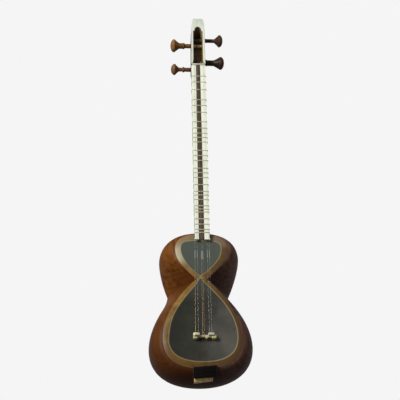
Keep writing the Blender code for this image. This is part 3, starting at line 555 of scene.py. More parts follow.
def loft(name, rings, crease=35):
    """A closed solid through rings of equal count."""
    bm = bmesh.new()
    made = [[bm.verts.new(point) for point in ring] for ring in rings]
    fill_between(bm, [ring + ring[:1] for ring in made])
    bm.faces.new(made[0])
    bm.faces.new(reversed(made[-1]))
    return to_mesh(name, bm, crease)


def bowl_and_skins():
    """The bowl with its skins on, as one solid, for cutting what seats on it."""
    bm = bmesh.new()
    for mirror in (1, -1):
        sheet = bowl_sheet(mirror, 0, rim, [RIM_OUTER_Y] * len(rim), side_outline())
        band = [[(mirror * (edge[0] + (inner[0] - edge[0]) * share),
                  band_depth(share, SKIN_THICKNESS + SEAT_LIFT),
                  below(edge[1] + (inner[1] - edge[1]) * share)) for edge, inner in zip(rim, inner_rim)]
                for share in BAND_SHARES]
        for rows in (sheet, [[row[0] for row in sheet]] + band):
            fill_between(bm, [[bm.verts.new(point) for point in row] for row in rows])
    bmesh.ops.remove_doubles(bm, verts=bm.verts, dist=MERGE)
    bmesh.ops.dissolve_degenerate(bm, edges=bm.edges, dist=MERGE)
    bmesh.ops.holes_fill(bm, edges=[edge for edge in bm.edges if edge.is_boundary], sides=0)
    return to_mesh("bowl_and_skins", bm)


def neck_size(along):
    """Half width and depth of the neck at a distance below the nut."""
    share = along / NECK_END
    return (NECK_HALF_WIDTH_NUT + (NECK_HALF_WIDTH_BODY - NECK_HALF_WIDTH_NUT) * share,
            NECK_DEPTH_NUT + (NECK_DEPTH_BODY - NECK_DEPTH_NUT) * share)


def neck_middle(along):
    """Sideways place of the neck's middle line, which leans a little to the right."""
    return NECK_LEAN * along / NECK_END


def neck_back(along, away, steps):
    """The round back of the neck from right to left, at a distance from its surface."""
    half_width, depth = neck_size(along)
    return [(neck_middle(along) + (half_width + away) * math.cos(math.pi * i / steps),
             NECK_STRAIGHT_SIDE + (depth + away - NECK_STRAIGHT_SIDE) * math.sin(math.pi * i / steps))
            for i in range(steps + 1)]


def wood_finish(name, dark, middle, light, polish=0.4, stretch=(1, 1, 0.04), scale=240, gloss=0.10):
    """Close-grained wood, with its grain along the axis that is stretched."""
    finish = Finish(name, Specular_IOR_Level=gloss)
    grain = finish.noise(scale, stretch, detail=6, roughness=0.65)
    pores = finish.noise(scale * 4, stretch, detail=2)
    tone = grain * 0.72 + pores * 0.28
    finish.paint(finish.ramp(tone, (0.34, rgb(*dark)), (0.50, rgb(*middle)), (0.68, rgb(*light))))
    finish.feed("Roughness", polish - 0.08 + grain * 0.16)
    finish.bump(tone, 0.2, 0.0002)
    return finish


instrument_body = bowl_and_skins()
neck_rings = []
for i in range(NECK_RINGS + 1):
    along = NECK_END * i / NECK_RINGS
    half_width, _ = neck_size(along)
    front = [(neck_middle(along) + side * half_width, BOARD_THICKNESS) for side in (1, -1)]
    section = front[:1] + neck_back(along, 0, NECK_ROUND_STEPS) + front[1:]
    neck_rings.append([(x, y, below(along)) for x, y in section])
oiled_walnut = wood_finish("oiled_walnut", (40, 25, 16), (70, 46, 30), (98, 70, 46))
neck_y, neck_z = oiled_walnut.axes()[1:]
# Painted light: the neck's end face under the strips is painted pale so that it does not render dark in its own
# shade.
oiled_walnut.over((1 - neck_z.rise(below(NECK_END - 0.0002), below(NECK_END - 0.0010))) * (1 - neck_y.rise(0.010, 0.012)),
                  rgb(188, 184, 160))
make_piece("walnut_neck", carved(loft("neck", neck_rings), instrument_body), oiled_walnut, ["neck_core"])


# THE FINGERBOARD'S STRIPS
# Old bone at both sides and a dark strip of wood between them, glued on the neck's front
# and scraped flat.
STRIP_EDGE = 0.0004


def bone_finish(name, tint, shade=0.90, scale=420):
    """Old bone or horn with fine grain, faint yellow clouds and specks."""
    finish = Finish(name, Coat_Weight=0.15, Coat_Roughness=0.2, Specular_IOR_Level=0.4)
    grain = finish.noise(scale, (1, 1, 0.03), detail=4, roughness=0.6)
    clouds = finish.noise(70, (1, 1, 0.35), detail=4, roughness=0.6)
    specks = finish.noise(1400, detail=1)
    tone = grain * 0.40 + clouds * 0.48 + specks * 0.12
    darker = [c * shade for c in tint]
    lighter = [min(c * 1.05, 255) for c in tint]
    finish.paint(finish.ramp(tone, (0.36, rgb(*darker)), (0.50, rgb(*tint)), (0.66, rgb(*lighter))))
    finish.feed("Roughness", 0.30 + clouds * 0.14)
    finish.bump(grain, 0.08, 0.0001)
    return finish


def redress(node, finish, ease):
    """A CAD node with its own finish and eased edges."""
    thing = nodes[node]
    thing.data.materials.clear()
    thing.data.materials.append(finish.material)
    edges = thing.modifiers.new("eased_edges", "BEVEL")
    edges.width = ease
    edges.segments = 2
    edges.limit_method = "ANGLE"
    edges.angle_limit = math.radians(30)


strip_bone = bone_finish("strip_bone", (233, 237, 217))
redress("bone_strip_left", strip_bone, STRIP_EDGE)
redress("bone_strip_right", strip_bone, STRIP_EDGE)
redress("centre_strip", wood_finish("dark_strip_wood", (52, 43, 36), (80, 68, 57), (104, 91, 77)),
        STRIP_EDGE / 2)


# THE FRETS
# Each fret is a length of gut wound three times round the neck, side by side, with its end
# tucked across the turns, so it can be pushed along. The last two are short ends glued on.
SCALE_LENGTH = 0.680
OCTAVE_CENTS = 1200
FIRST_OCTAVE_CENTS = (90, 140, 204, 294, 345, 408, 498, 560, 612,
                      655, 702, 792, 850, 906, 996, 1050, 1110, 1200)
SECOND_OCTAVE_CENTS = (90, 140, 204, 294, 345, 390, 498, 588, 680, 735)
GLUED_FRETS = 2
GUT_RADIUS = 0.00036
GUT_PITCH = 0.00074
GUT_TURNS = 3
GUT_LIFT = 0.0001
GLUED_LEG = 0.0055
CORNER_STEPS = 3
BACK_STEPS = 14
TUCK = ((0.0003, 0.0004, 0.0002), (0.0007, 0.0010, 0.0001), (0.00085, 0.0014, -0.0004),
        (0.00085, 0.0015, -0.0014), (0.0008, 0.0015, -0.0021), (0.0005, 0.0014, -0.0027))


def wire(name, strands, radius, resolution=2):
    """Round strands along their points."""
    curve = bpy.data.curves.new(name, "CURVE")
    curve.dimensions = "3D"
    curve.bevel_depth = radius
    curve.bevel_resolution = resolution
    curve.use_fill_caps = True
    for points in strands:
        spline = curve.splines.new("POLY")
        spline.points.add(len(points) - 1)
        for point, place in zip(spline.points, points):
            point.co = (*place, 1)
        spline.use_smooth = True
    return curve


def gut_front(along, away):
    """Across the front of the strips from left to right, at a distance from them."""
    half_width, _ = neck_size(along)
    path = []
    for side, start in ((-1, math.pi), (1, math.pi * 1.5)):
        for i in range(CORNER_STEPS + 1):
            turn = start + math.pi / 2 * i / CORNER_STEPS
            path.append((neck_middle(along) + side * half_width + away * math.cos(turn), away * math.sin(turn)))
    return path


def tied_fret(name, along):
    """Turns of gut round the neck, the end tucked across them behind the left edge."""
    away = GUT_LIFT + GUT_RADIUS
    path = gut_front(along, away) + neck_back(along, away, BACK_STEPS)
    lengths = [0.0]
    for here, there in zip(path, path[1:] + path[:1]):
        lengths.append(lengths[-1] + math.dist(here, there))
    shares = [length / lengths[-1] for length in lengths]
    middle = shares[2 * CORNER_STEPS + 1] / 2 + (GUT_TURNS - 1) / 2
    points = []
    for turn in range(GUT_TURNS):
        for (x, y), share in zip(path, shares):
            points.append((x, y, below(along) + GUT_PITCH * (turn + share - middle)))
    points = points[:-2]
    end = Vector(points[-1])
    onward = (end - Vector(points[-2])).normalized()
    out = onward.cross(Vector((0, 0, 1)))
    if out.y < 0:
        out.negate()
    tail = [tuple(end + out * a + onward * b + Vector((0, 0, c))) for a, b, c in TUCK]
    return wire(name, [points + tail], GUT_RADIUS)


def glued_fret(name, along):
    """Short ends of gut, side by side over the strips."""
    away = GUT_LIFT + GUT_RADIUS
    half_width, _ = neck_size(along)
    legs = [(neck_middle(along) + side * (half_width + away), GLUED_LEG) for side in (-1, 1)]
    arch = legs[:1] + gut_front(along, away) + legs[1:]
    strands = [[(x, y, below(along) + GUT_PITCH * (k - (GUT_TURNS - 1) / 2)) for x, y in arch]
               for k in range(GUT_TURNS)]
    return wire(name, strands, GUT_RADIUS)


gut = Finish("tied_gut", Specular_IOR_Level=0.4, Coat_Weight=0.1, Coat_Roughness=0.2, Roughness=0.38)
gut_shade = gut.noise(800, detail=3)
gut.paint(gut.ramp(gut_shade, (0.35, rgb(182, 176, 146)), (0.65, rgb(212, 206, 178))))
gut.bump(gut_shade, 0.15, 0.0001)
fret_cents = list(FIRST_OCTAVE_CENTS) + [OCTAVE_CENTS + cents for cents in SECOND_OCTAVE_CENTS]
for number, cents in enumerate(fret_cents, start=1):
    along = SCALE_LENGTH * (1 - 2 ** (-cents / OCTAVE_CENTS))
    node = f"fret_{number:02d}"
    if number <= len(fret_cents) - GLUED_FRETS:
        make_piece(f"gut_{node}", tied_fret(node, along), gut, [node], node + "_body")
    else:
        make_piece(f"gut_{node}", glued_fret(node, along), gut, [node])


# THE NUT
# A bar of bone across the fingerboard's end, seated on the pegbox's floor. Each wire lies
# in a shallow notch filed over its edge.
NUT_HEIGHT = 0.0042
NUT_HALF_WIDTH = 0.0158
NUT_PROUD = 0.0020
NUT_SEAT_Y = 0.0025
NOTCH_SIDES = 12
NOTCH_DEPTH = 0.00030
WIRE_SUNK = 0.00012
WIRES = (
    dict(nut=-0.0120, peg_x=-0.0085, bridge=-0.0144, radius=0.00019, peg="peg_lower_left", way=1),
    dict(nut=-0.0095, peg_x=-0.0025, bridge=-0.0092, radius=0.00015, peg="peg_lower_left", way=1),
    dict(nut=-0.0012, peg_x=-0.0040, bridge=0.0000, radius=0.00019, peg="peg_upper_left", way=1),
    dict(nut=0.0013, peg_x=0.0040, bridge=0.0030, radius=0.00021, peg="peg_upper_right", way=-1),
    dict(nut=0.0095, peg_x=0.0025, bridge=0.0122, radius=0.00015, peg="peg_lower_right", way=-1),
    dict(nut=0.0120, peg_x=0.0085, bridge=0.0170, radius=0.00015, peg="peg_lower_right", way=-1),
)


def prism(name, outline, front, back):
    """An outline of x and z, from one depth to another."""
    return loft(name, [[(x, front, z) for x, z in outline], [(x, back, z) for x, z in outline]])


def notch(x, surface, radius, low, high):
    """A round file laid in a surface, along a wire."""
    wide = radius * 1.3
    middle = surface + NOTCH_DEPTH - wide
    turns = [2 * math.pi * k / NOTCH_SIDES for k in range(NOTCH_SIDES)]
    return loft("notch", [[(x + wide * math.cos(turn), middle + wide * math.sin(turn), z) for turn in turns]
                          for z in (low, high)])


nut_low, nut_high = below(0), below(0) + NUT_HEIGHT
nut_outline = [(-NUT_HALF_WIDTH, nut_low), (NUT_HALF_WIDTH, nut_low),
               (NUT_HALF_WIDTH, nut_high), (-NUT_HALF_WIDTH, nut_high)]
nut_block = eased(prism("nut", nut_outline, -NUT_PROUD, NUT_SEAT_Y), 0.0006, 3)
nut_notches = [notch(facts["nut"], -NUT_PROUD, facts["radius"], nut_low - NUT_HEIGHT, nut_high + NUT_HEIGHT)
               for facts in WIRES]
make_piece("notched_nut", carved(nut_block, *nut_notches), bone_finish("nut_bone", (190, 188, 172)),
           ["nut"])


# THE PEGBOX
# A hollowed block of walnut, open at the front and closed at the back. Its inside is painted greyish
# brown and darkened by its own shade, and the cheeks' inner faces carry painted golden light.
HEAD_OUTLINE = ((0.0166, 0.1120), (0.0158, 0.1335), (0.0138, 0.1475),
                (0.0125, 0.1516), (0.0104, 0.1532))
HEAD_FACE_THICKNESS = 0.0025
PEGBOX_DEPTH = 0.0455
PEGBOX_FRONT_Y = 0.0026
PEGBOX_BACK_ROUNDING = 0.0070
PEGBOX_BACK_SHARE = 0.80
ROUNDING_STEPS = 6
CAVITY_HALF_WIDTH = 0.0120
CAVITY_FLOOR = 0.0045
CHEEK_FLARE = 0.0022
CHEEK_FLARE_HEIGHT = 0.0140
CAVITY_BACK_Y = 0.0385
ARCH_HALF_WIDTH = 0.0084
ARCH_SPRING = 0.1155
ARCH_TOP = 0.1267
ARCH_STEPS = 10
SHOULDER_POINTS = ((0.0120, 0.1110), (0.0117, 0.1119), (0.0110, 0.1125), (0.0099, 0.1128), (0.0090, 0.1135),
                   (0.0085, 0.1146))
HANG_HOLE_RADIUS = 0.0012
HANG_HOLE_DEPTH = 0.0100
PEG_DEPTH = 0.0300
PEG_SEAT_RADIUS = 0.0044
PEG_TIP_RADIUS = 0.0034
PEG_SHOULDER_X = NECK_HALF_WIDTH_NUT + 0.0006
PEG_TIP_X = 0.0160
PEG_HEAD_DOME = 0.0100
PEG_CLEARANCE = 0.0001
TURNING_STEPS = 40
PEGS = {
    "peg_upper_right": dict(side=1, height=0.1070, end=0.0640, ridge=0.0155, neck_x=0.0420, neck=0.0047,
                            dip=0.0, collar_x=0.0, collar=0.0, shank=0.0048, foot=0.0052),
    "peg_upper_left": dict(side=-1, height=0.0877, end=0.0680, ridge=0.0163, neck_x=0.0460, neck=0.0072,
                           dip=0.0070, collar_x=0.0345, collar=0.0079, shank=0.0053, foot=0.0056),
    "peg_lower_right": dict(side=1, height=0.0335, end=0.0655, ridge=0.0160, neck_x=0.0390, neck=0.0070,
                            dip=0.0, collar_x=0.0, collar=0.0, shank=0.0071, foot=0.0092),
    "peg_lower_left": dict(side=-1, height=0.0103, end=0.0662, ridge=0.0138, neck_x=0.0470, neck=0.0050,
                           dip=0.0047, collar_x=0.0355, collar=0.0068, shank=0.0050, foot=0.0052),
}


def head_outline(foot, share=1.0):
    """The head's outline, from a foot height above the nut."""
    right = [(NECK_HALF_WIDTH_NUT, foot)] + list(HEAD_OUTLINE)
    return [(x * share, below(0) + height) for x, height in right + [(-x, h) for x, h in reversed(right)]]


def opening_outline(floor):
    """The opening's outline: straight cheeks, small shoulders and a round arch."""
    flare = CAVITY_HALF_WIDTH + CHEEK_FLARE
    right = [(flare, floor)] if floor < CAVITY_FLOOR else []
    right += [(flare, CAVITY_FLOOR), (CAVITY_HALF_WIDTH, CAVITY_FLOOR + CHEEK_FLARE_HEIGHT), *SHOULDER_POINTS]
    for i in range(ARCH_STEPS):
        turn = math.pi / 2 * i / ARCH_STEPS
        right.append((ARCH_HALF_WIDTH * math.cos(turn), ARCH_SPRING + (ARCH_TOP - ARCH_SPRING) * math.sin(turn)))
    points = right + [(0, ARCH_TOP)] + [(-x, height) for x, height in reversed(right)]
    return [(x, below(0) + height) for x, height in points]


def seat_radius(x):
    """Radius of a peg's tapered shaft at a distance from the middle, towards its head."""
    share = (x + PEG_TIP_X) / (PEG_SHOULDER_X + PEG_TIP_X)
    return PEG_TIP_RADIUS + (PEG_SEAT_RADIUS - PEG_TIP_RADIUS) * share


def circle(radius, steps):
    """Points round a circle."""
    return [(radius * math.cos(2 * math.pi * k / steps), radius * math.sin(2 * math.pi * k / steps))
            for k in range(steps)]


def pegbox_finish():
    """Walnut outside, greyish brown inside, and painted golden light on the cheeks' inner faces and the back wall's
    right part.
    """
    finish = wood_finish("pegbox_walnut", (24, 24, 15), (38, 36, 25), (56, 52, 37), 0.7, gloss=0.0)
    x, y, z = finish.axes()
    # Inside, a greyish brown; the hollow looks near black only from its own shade.
    inside = (1 - abs(x).rise(0.0146, 0.0150)) * (1 - z.rise(-0.0150, -0.0140)) * (1 - y.rise(0.0390, 0.0400))
    # Painted light: golden on the cheeks' inner faces and on the right part of the back wall.
    painted_light_cheeks = x.maths("MAXIMUM", abs(x).rise(0.0114, 0.0118), x.rise(0.0076, 0.0090) * 0.9)
    finish.over(inside, finish.mix(painted_light_cheeks, rgb(112, 92, 88), rgb(172, 150, 84)))
    return finish


pegbox_back = PEGBOX_FRONT_Y + PEGBOX_DEPTH
pegbox_rings = [[(x, PEGBOX_FRONT_Y, z) for x, z in head_outline(0)]]
for i in range(ROUNDING_STEPS + 1):
    turn = math.pi / 2 * i / ROUNDING_STEPS
    share = 1 - (1 - PEGBOX_BACK_SHARE) * (1 - math.cos(turn))
    pegbox_rings.append([(x, pegbox_back - PEGBOX_BACK_ROUNDING * (1 - math.sin(turn)), z)
                         for x, z in head_outline(0, share)])
hang_hole = loft("hang_hole", [[(x, y, z) for x, z in circle(HANG_HOLE_RADIUS, 20)]
                               for y in (-HANG_HOLE_DEPTH, HANG_HOLE_DEPTH)])
peg_holes = []
for peg in PEGS.values():
    peg_holes.append(loft("peg_hole", [[(peg["side"] * x, PEG_DEPTH + y, below(0) + peg["height"] + z)
                                        for y, z in circle(seat_radius(x) + PEG_CLEARANCE, TURNING_STEPS)]
                                       for x in (-2 * PEG_SHOULDER_X, 2 * PEG_SHOULDER_X)]))
cavity = prism("cavity", opening_outline(CAVITY_FLOOR), -HEAD_FACE_THICKNESS, CAVITY_BACK_Y)
make_piece("walnut_pegbox", carved(eased(loft("pegbox", pegbox_rings), 0.0005), cavity, hang_hole, *peg_holes),
           pegbox_finish(), ["pegbox"])


# THE HEAD'S FACE
# A plate of bone glued on the pegbox's front, sawn out in an arch over the pegs, so that
# fingers reach the wires. The small hole at its top takes the cord it hangs by.
face_bone = bone_finish("face_bone", (215, 220, 203), 0.88)
face_x, _, face_z = face_bone.axes()
face_bone.over(abs(face_x).rise(0.0125, 0.0165) * 0.15 + face_z.rise(0.004, 0.013) * 0.15, rgb(168, 172, 150))
face_bone.over((1 - face_z.rise(below(-0.0062), below(-0.0092))) * (1 - abs(face_x).rise(0.0150, 0.0168)) * 0.85,
               rgb(140, 120, 66))
plate = prism("face", head_outline(NUT_HEIGHT + 0.0002), 0, HEAD_FACE_THICKNESS)
arch = prism("arch", opening_outline(-CAVITY_FLOOR), -HEAD_FACE_THICKNESS, HEAD_FACE_THICKNESS * 2)
make_piece("bone_face", eased(carved(plate, arch, hang_hole), 0.0003), face_bone, ["head_bone_face"])


# THE PEGS
# Four pegs turned on a lathe, their shafts tapered to fit reamed holes in both cheeks. The
# left two are golden, with a bead on the shank, and the right two are dark and plain.
DOME_STEPS = 10
DOME_FLATNESS = 0.87
FLANK_STEPS = 12
FLANK_HOLLOW = 1.15
BEAD_STEPS = 8
BEAD_HALF_LENGTH = 0.0024


def peg_profile(peg):
    """Radius and distance from the middle, from the head's end to the tip."""
    end, ridge, neck_x, neck = peg["end"], peg["ridge"], peg["neck_x"], peg["neck"]
    ridge_x = end - PEG_HEAD_DOME
    profile = []
    for i in range(DOME_STEPS):
        turn = math.pi / 2 * i / DOME_STEPS
        profile.append((ridge * math.sin(turn), ridge_x + PEG_HEAD_DOME * math.cos(turn) ** DOME_FLATNESS))
    profile += [(ridge, ridge_x + 0.0003), (ridge, ridge_x)]
    for i in range(1, FLANK_STEPS + 1):
        share = 1 - i / FLANK_STEPS
        profile.append((neck + (ridge - neck) * share ** FLANK_HOLLOW, neck_x + (ridge_x - neck_x) * share))
    if peg["collar"]:
        bead_x, bead = peg["collar_x"], peg["collar"]
        profile += [(peg["dip"], bead_x + 0.0052), (peg["dip"], bead_x + BEAD_HALF_LENGTH + 0.0002)]
        for i in range(BEAD_STEPS + 1):
            turn = math.pi * i / BEAD_STEPS
            stem = peg["dip"] if i < BEAD_STEPS / 2 else peg["shank"]
            profile.append((stem + (bead - stem) * math.sin(turn) ** 0.8, bead_x + BEAD_HALF_LENGTH * math.cos(turn)))
        profile += [(peg["shank"], bead_x - BEAD_HALF_LENGTH - 0.0002), (peg["shank"], bead_x - 0.0045)]
    else:
        profile.append((peg["shank"], PEG_SHOULDER_X + 0.0060))
    foot = peg["foot"]
    profile += [(foot * 0.99, PEG_SHOULDER_X + 0.0008), (foot, PEG_SHOULDER_X + 0.0004),
                (foot * 0.97, PEG_SHOULDER_X), (PEG_SEAT_RADIUS, PEG_SHOULDER_X - 0.0001),
                (PEG_TIP_RADIUS, 0.0003 - PEG_TIP_X), (PEG_TIP_RADIUS - 0.0003, -PEG_TIP_X), (0, -PEG_TIP_X)]
    return profile


def turned_peg(name, peg):
    """A peg turned from its profile, lying along x."""
    bm = bmesh.new()
    rings = []
    for radius, x in peg_profile(peg):
        rings.append([bm.verts.new((peg["side"] * x, PEG_DEPTH + y, below(0) + peg["height"] + z))
                      for y, z in circle(radius, TURNING_STEPS)])
    fill_between(bm, [ring + ring[:1] for ring in rings])
    bmesh.ops.remove_doubles(bm, verts=bm.verts, dist=MERGE)
    return to_mesh(name, bm, 50)


def peg_finish(name, dark, middle, light, shaft):
    """Turned wood: grain along the peg, fine lathe lines round it, rubbed at the head's end."""
    finish = Finish(name, Coat_Weight=0.05, Coat_Roughness=0.25, Specular_IOR_Level=0.12)
    x = finish.axes()[0]
    grain = finish.noise(170, (0.12, 1, 1), detail=5, roughness=0.62)
    clouds = finish.noise(60, detail=3)
    lathe = finish.noise(1800, (1, 0.02, 0.02), detail=2)
    tone = grain * 0.55 + clouds * 0.40 + lathe * 0.05
    finish.paint(finish.ramp(tone, (0.34, rgb(*dark)), (0.50, rgb(*middle)), (0.68, rgb(*light))))
    finish.over(abs(x).rise(0.050, 0.058) * 0.35, rgb(*light))
    finish.over(1 - abs(x).rise(0.0118, 0.0122), rgb(*shaft))
    finish.feed("Roughness", 0.32 + clouds * 0.14)
    finish.bump(grain * 0.4 + lathe * 0.6, 0.15, 0.0002)
    return finish


golden_wood = peg_finish("golden_peg_wood", (64, 40, 18), (110, 74, 36), (152, 110, 62), (204, 176, 166))
brown_wood = peg_finish("brown_peg_wood", (64, 40, 22), (104, 70, 42), (138, 100, 66), (120, 96, 84))
dark_wood = peg_finish("dark_peg_wood", (50, 32, 24), (76, 52, 40), (102, 74, 58), (96, 96, 98))
darkest_wood = peg_finish("darkest_peg_wood", (35, 22, 15), (53, 37, 27), (74, 55, 41), (56, 46, 42))
for name, wood, slot in (("peg_upper_left", golden_wood, "peg_light"), ("peg_lower_left", brown_wood, "peg_light"),
                         ("peg_upper_right", dark_wood, "peg_dark"), ("peg_lower_right", darkest_wood, "peg_dark")):
    make_piece("turned_" + name, turned_peg(name, PEGS[name]), wood, [name], name + "_body")


# THE WIRES
# Six wires run from their pegs over nut, bridge and tail block, and hook under the horn bar.
# The outer pairs share a peg each. The basses are brass or bronze, and the rest are steel.
WINDING_TURNS = 3.2
WINDING_GAP = 0.00045
LOOP_POINTS = 36
WRAP_DEGREES = 40
WIRE_SEAT = 0.00005
BRIDGE_TOP_Y = -0.0070
BRIDGE_BAR_Y = -0.0012
BRIDGE_BACK = 0.0040
LOW_WIRES = (3, 4)
BLOCK_SECTION = ((0.7425, 0.0050), (0.7580, 0.0215), (0.7480, 0.0350), (0.7380, 0.0130))
BLOCK_SPAN = (-0.0188, 0.0271)
BLOCK_SLANT = 0.080
BAR_SECTION = ((0.7570, 0.0300), (0.7625, 0.0325), (0.7632, 0.0400), (0.7540, 0.0430), (0.7500, 0.0340))
BAR_SPAN = (-0.0160, 0.0205)
BAR_SLANT = 0.125
HOOK_REACH = 0.0050


def on_tail(x, place, span, slant):
    """A point on a slanting tail piece, from its distance below the nut and its depth."""
    return (x, place[1], below(place[0] - (x - sum(span) / 2) * slant))


def outward(start, end):
    """The outward direction from a face of the tail, from its upper to its lower edge."""
    return Vector((end[1] - start[1], start[0] - end[0])).normalized()


def touching_line(facts):
    """Angle of the wire's straight run between the nut's corner and the shaft, and the radii."""
    peg = PEGS[facts["peg"]]
    off_nut = facts["radius"] - WIRE_SUNK
    off_axis = seat_radius(peg["side"] * facts["peg_x"]) + WIRE_SEAT + facts["radius"]
    across = PEG_DEPTH + NUT_PROUD
    up = peg["height"] - NUT_HEIGHT
    return math.atan2(up, across) + math.acos((off_nut - off_axis) / math.hypot(across, up)), off_nut, off_axis


def winding_points(facts):
    """The turns of one wire on its peg."""
    peg = PEGS[facts["peg"]]
    angle, _, _ = touching_line(facts)
    pitch = 2 * facts["radius"] + WINDING_GAP
    points = []
    for i in range(round(WINDING_TURNS * LOOP_POINTS) + 1):
        turn = i / LOOP_POINTS
        x = facts["peg_x"] + facts["way"] * pitch * (1 + turn)
        radius = seat_radius(peg["side"] * x) + WIRE_SEAT + facts["radius"]
        at = angle - 2 * math.pi * turn
        points.append((x, PEG_DEPTH + radius * math.cos(at), below(0) + peg["height"] + radius * math.sin(at)))
    return points


def wire_points(number, facts):
    """One wire from its peg, over nut, bridge and tail block, to its hook under the bar."""
    peg = PEGS[facts["peg"]]
    angle, off_nut, off_axis = touching_line(facts)
    radius, across = facts["radius"], facts["bridge"]
    points = []
    for share in (1, 0.75, 0.5, 0.25, 0):
        at = angle - math.radians(WRAP_DEGREES) * share
        points.append((facts["peg_x"], PEG_DEPTH + off_axis * math.cos(at),
                       below(0) + peg["height"] + off_axis * math.sin(at)))
    for share in (0, 0.33, 0.67, 1):
        at = angle + (math.pi - angle) * share
        points.append((facts["nut"], -NUT_PROUD + off_nut * math.cos(at),
                       below(0) + NUT_HEIGHT + off_nut * math.sin(at)))
    points.append((facts["nut"], -NUT_PROUD - off_nut, below(0)))
    lift = (BRIDGE_BAR_Y if number in LOW_WIRES else BRIDGE_TOP_Y) + WIRE_SUNK - radius
    points += [(across, lift, below(SCALE_LENGTH)), (across, lift, below(SCALE_LENGTH + BRIDGE_BACK))]
    edge, foot = [Vector(place) for place in BLOCK_SECTION[:2]]
    lip, heel = [Vector(place) for place in BAR_SECTION[1:3]]
    leaving = (SCALE_LENGTH + BRIDGE_BACK, lift)
    ways = (outward(leaving, edge), outward(edge, foot), outward(foot, lip))
    away = WIRE_SEAT + radius
    for corner, before, after in ((edge, ways[0], ways[1]), (foot, ways[1], ways[2])):
        for share in (0, 0.5, 1):
            place = corner + before.lerp(after, share).normalized() * away
            points.append(on_tail(across, place, BLOCK_SPAN, BLOCK_SLANT))
    under = outward(lip, heel)
    for place, way in ((lip, (under + outward(BAR_SECTION[0], lip)).normalized()),
                       (lip + (heel - lip).normalized() * HOOK_REACH, under)):
        points.append(on_tail(across, place - way * (radius + WIRE_SUNK), BAR_SPAN, BAR_SLANT))
    return points


def wire_finish(name, colour):
    """Drawn metal, a little dulled by hands; greyed towards grey-green above the crossing, bone-pale over the bone
    strips, with a painted glint over the upper skin and painted shade below the bridge.
    """
    finish = Finish(name, Metallic=1.0)
    dull = finish.noise(260, (1, 1, 0.4), detail=3)
    paler = [min(c * 1.12, 255) for c in colour]
    finish.paint(finish.ramp(dull, (0.35, rgb(*colour)), (0.65, rgb(*paler))))
    x, _, z = finish.axes()
    # Painted glint: a short band of near-white, non-metal wire over the upper skin.
    painted_glint = z.rise(-0.664, -0.659) * (1 - z.rise(-0.646, -0.641))
    # Over the bone strips the wires are painted bone-pale and mostly non-metal, so they hardly show there.
    pale_over_bone = z.rise(-0.604, -0.598) * abs(x).rise(0.005, 0.006)
    # Painted shade: below the bridge the wires are painted half as bright and made rougher.
    painted_shade_below_bridge = 1 - z.rise(-0.827, -0.825)
    finish.over(z.rise(-0.700, -0.680) * 0.6, rgb(112, 116, 108))
    finish.over(painted_shade_below_bridge, rgb(*[c * 0.5 for c in colour]))
    finish.over(pale_over_bone, rgb(226, 229, 212))
    finish.over(painted_glint, rgb(250, 251, 246))
    finish.feed("Metallic", 1 - painted_glint - pale_over_bone * 0.8)
    finish.feed("Roughness", 0.24 + dull * 0.18 + painted_shade_below_bridge * 0.2)
    return finish


steel = wire_finish("dull_steel", (128, 132, 126))
brass = wire_finish("yellow_brass", (152, 132, 92))
bronze = wire_finish("reddish_bronze", (128, 102, 82))
for number, (facts, metal) in enumerate(zip(WIRES, (brass, steel, brass, bronze, steel, steel)), start=1):
    make_piece(f"wire_{number}", wire(f"wire_{number}", [wire_points(number, facts)], facts["radius"]),
               metal, [f"string_{number}"])
    make_piece(f"turns_{number}", wire(f"turns_{number}", [winding_points(facts)], facts["radius"]),
               metal, [f"winding_{number}"], facts["peg"] + "_body")


# THE BRIDGE
# Carved from one piece of horn bone: a raised block for each outer pair of wires, a low bar
# between them, and round feet that stand on the lower skin.
BRIDGE_FOOT_Y = 0.0092
BRIDGE_FOOT_FRONT = -0.0010
BRIDGE_ROUNDING = 0.0027
BRIDGE_BAR_ROUNDING = 0.0010
BRIDGE_BLOCKS = (
    dict(x=(-0.0190, -0.0055), y=(BRIDGE_TOP_Y, 0.0040), along=(-0.0021, 0.0056)),
    dict(x=(-0.0085, 0.0200), y=(BRIDGE_BAR_Y, 0.0040), along=(0.0014, 0.0062)),
    dict(x=(0.0046, 0.0112), y=(BRIDGE_FOOT_FRONT, BRIDGE_FOOT_Y), along=(0.0016, 0.0086)),
    dict(x=(0.0102, 0.0232), y=(BRIDGE_TOP_Y, 0.0010), along=(-0.0022, 0.0044)),
    dict(x=(0.0170, 0.0268), y=(BRIDGE_FOOT_FRONT - 0.0018, BRIDGE_FOOT_Y), along=(0.0006, 0.0086)),
    dict(x=(-0.0186, -0.0094), y=(BRIDGE_FOOT_FRONT - 0.0018, BRIDGE_FOOT_Y), along=(0.0002, 0.0088)),
)


def rounded_block(block, rounding):
    """A box with rounded edges, given by its limits."""
    bm = bmesh.new()
    bmesh.ops.create_cube(bm, size=1)
    limits = (block["x"], block["y"], sorted(below(SCALE_LENGTH + along) for along in block["along"]))
    for vert in bm.verts:
        vert.co = [low + (high - low) * (share + 0.5) for share, (low, high) in zip(vert.co, limits)]
    bmesh.ops.bevel(bm, geom=bm.edges, offset=rounding, segments=5, profile=0.5, affect="EDGES")
    return to_mesh("block", bm)


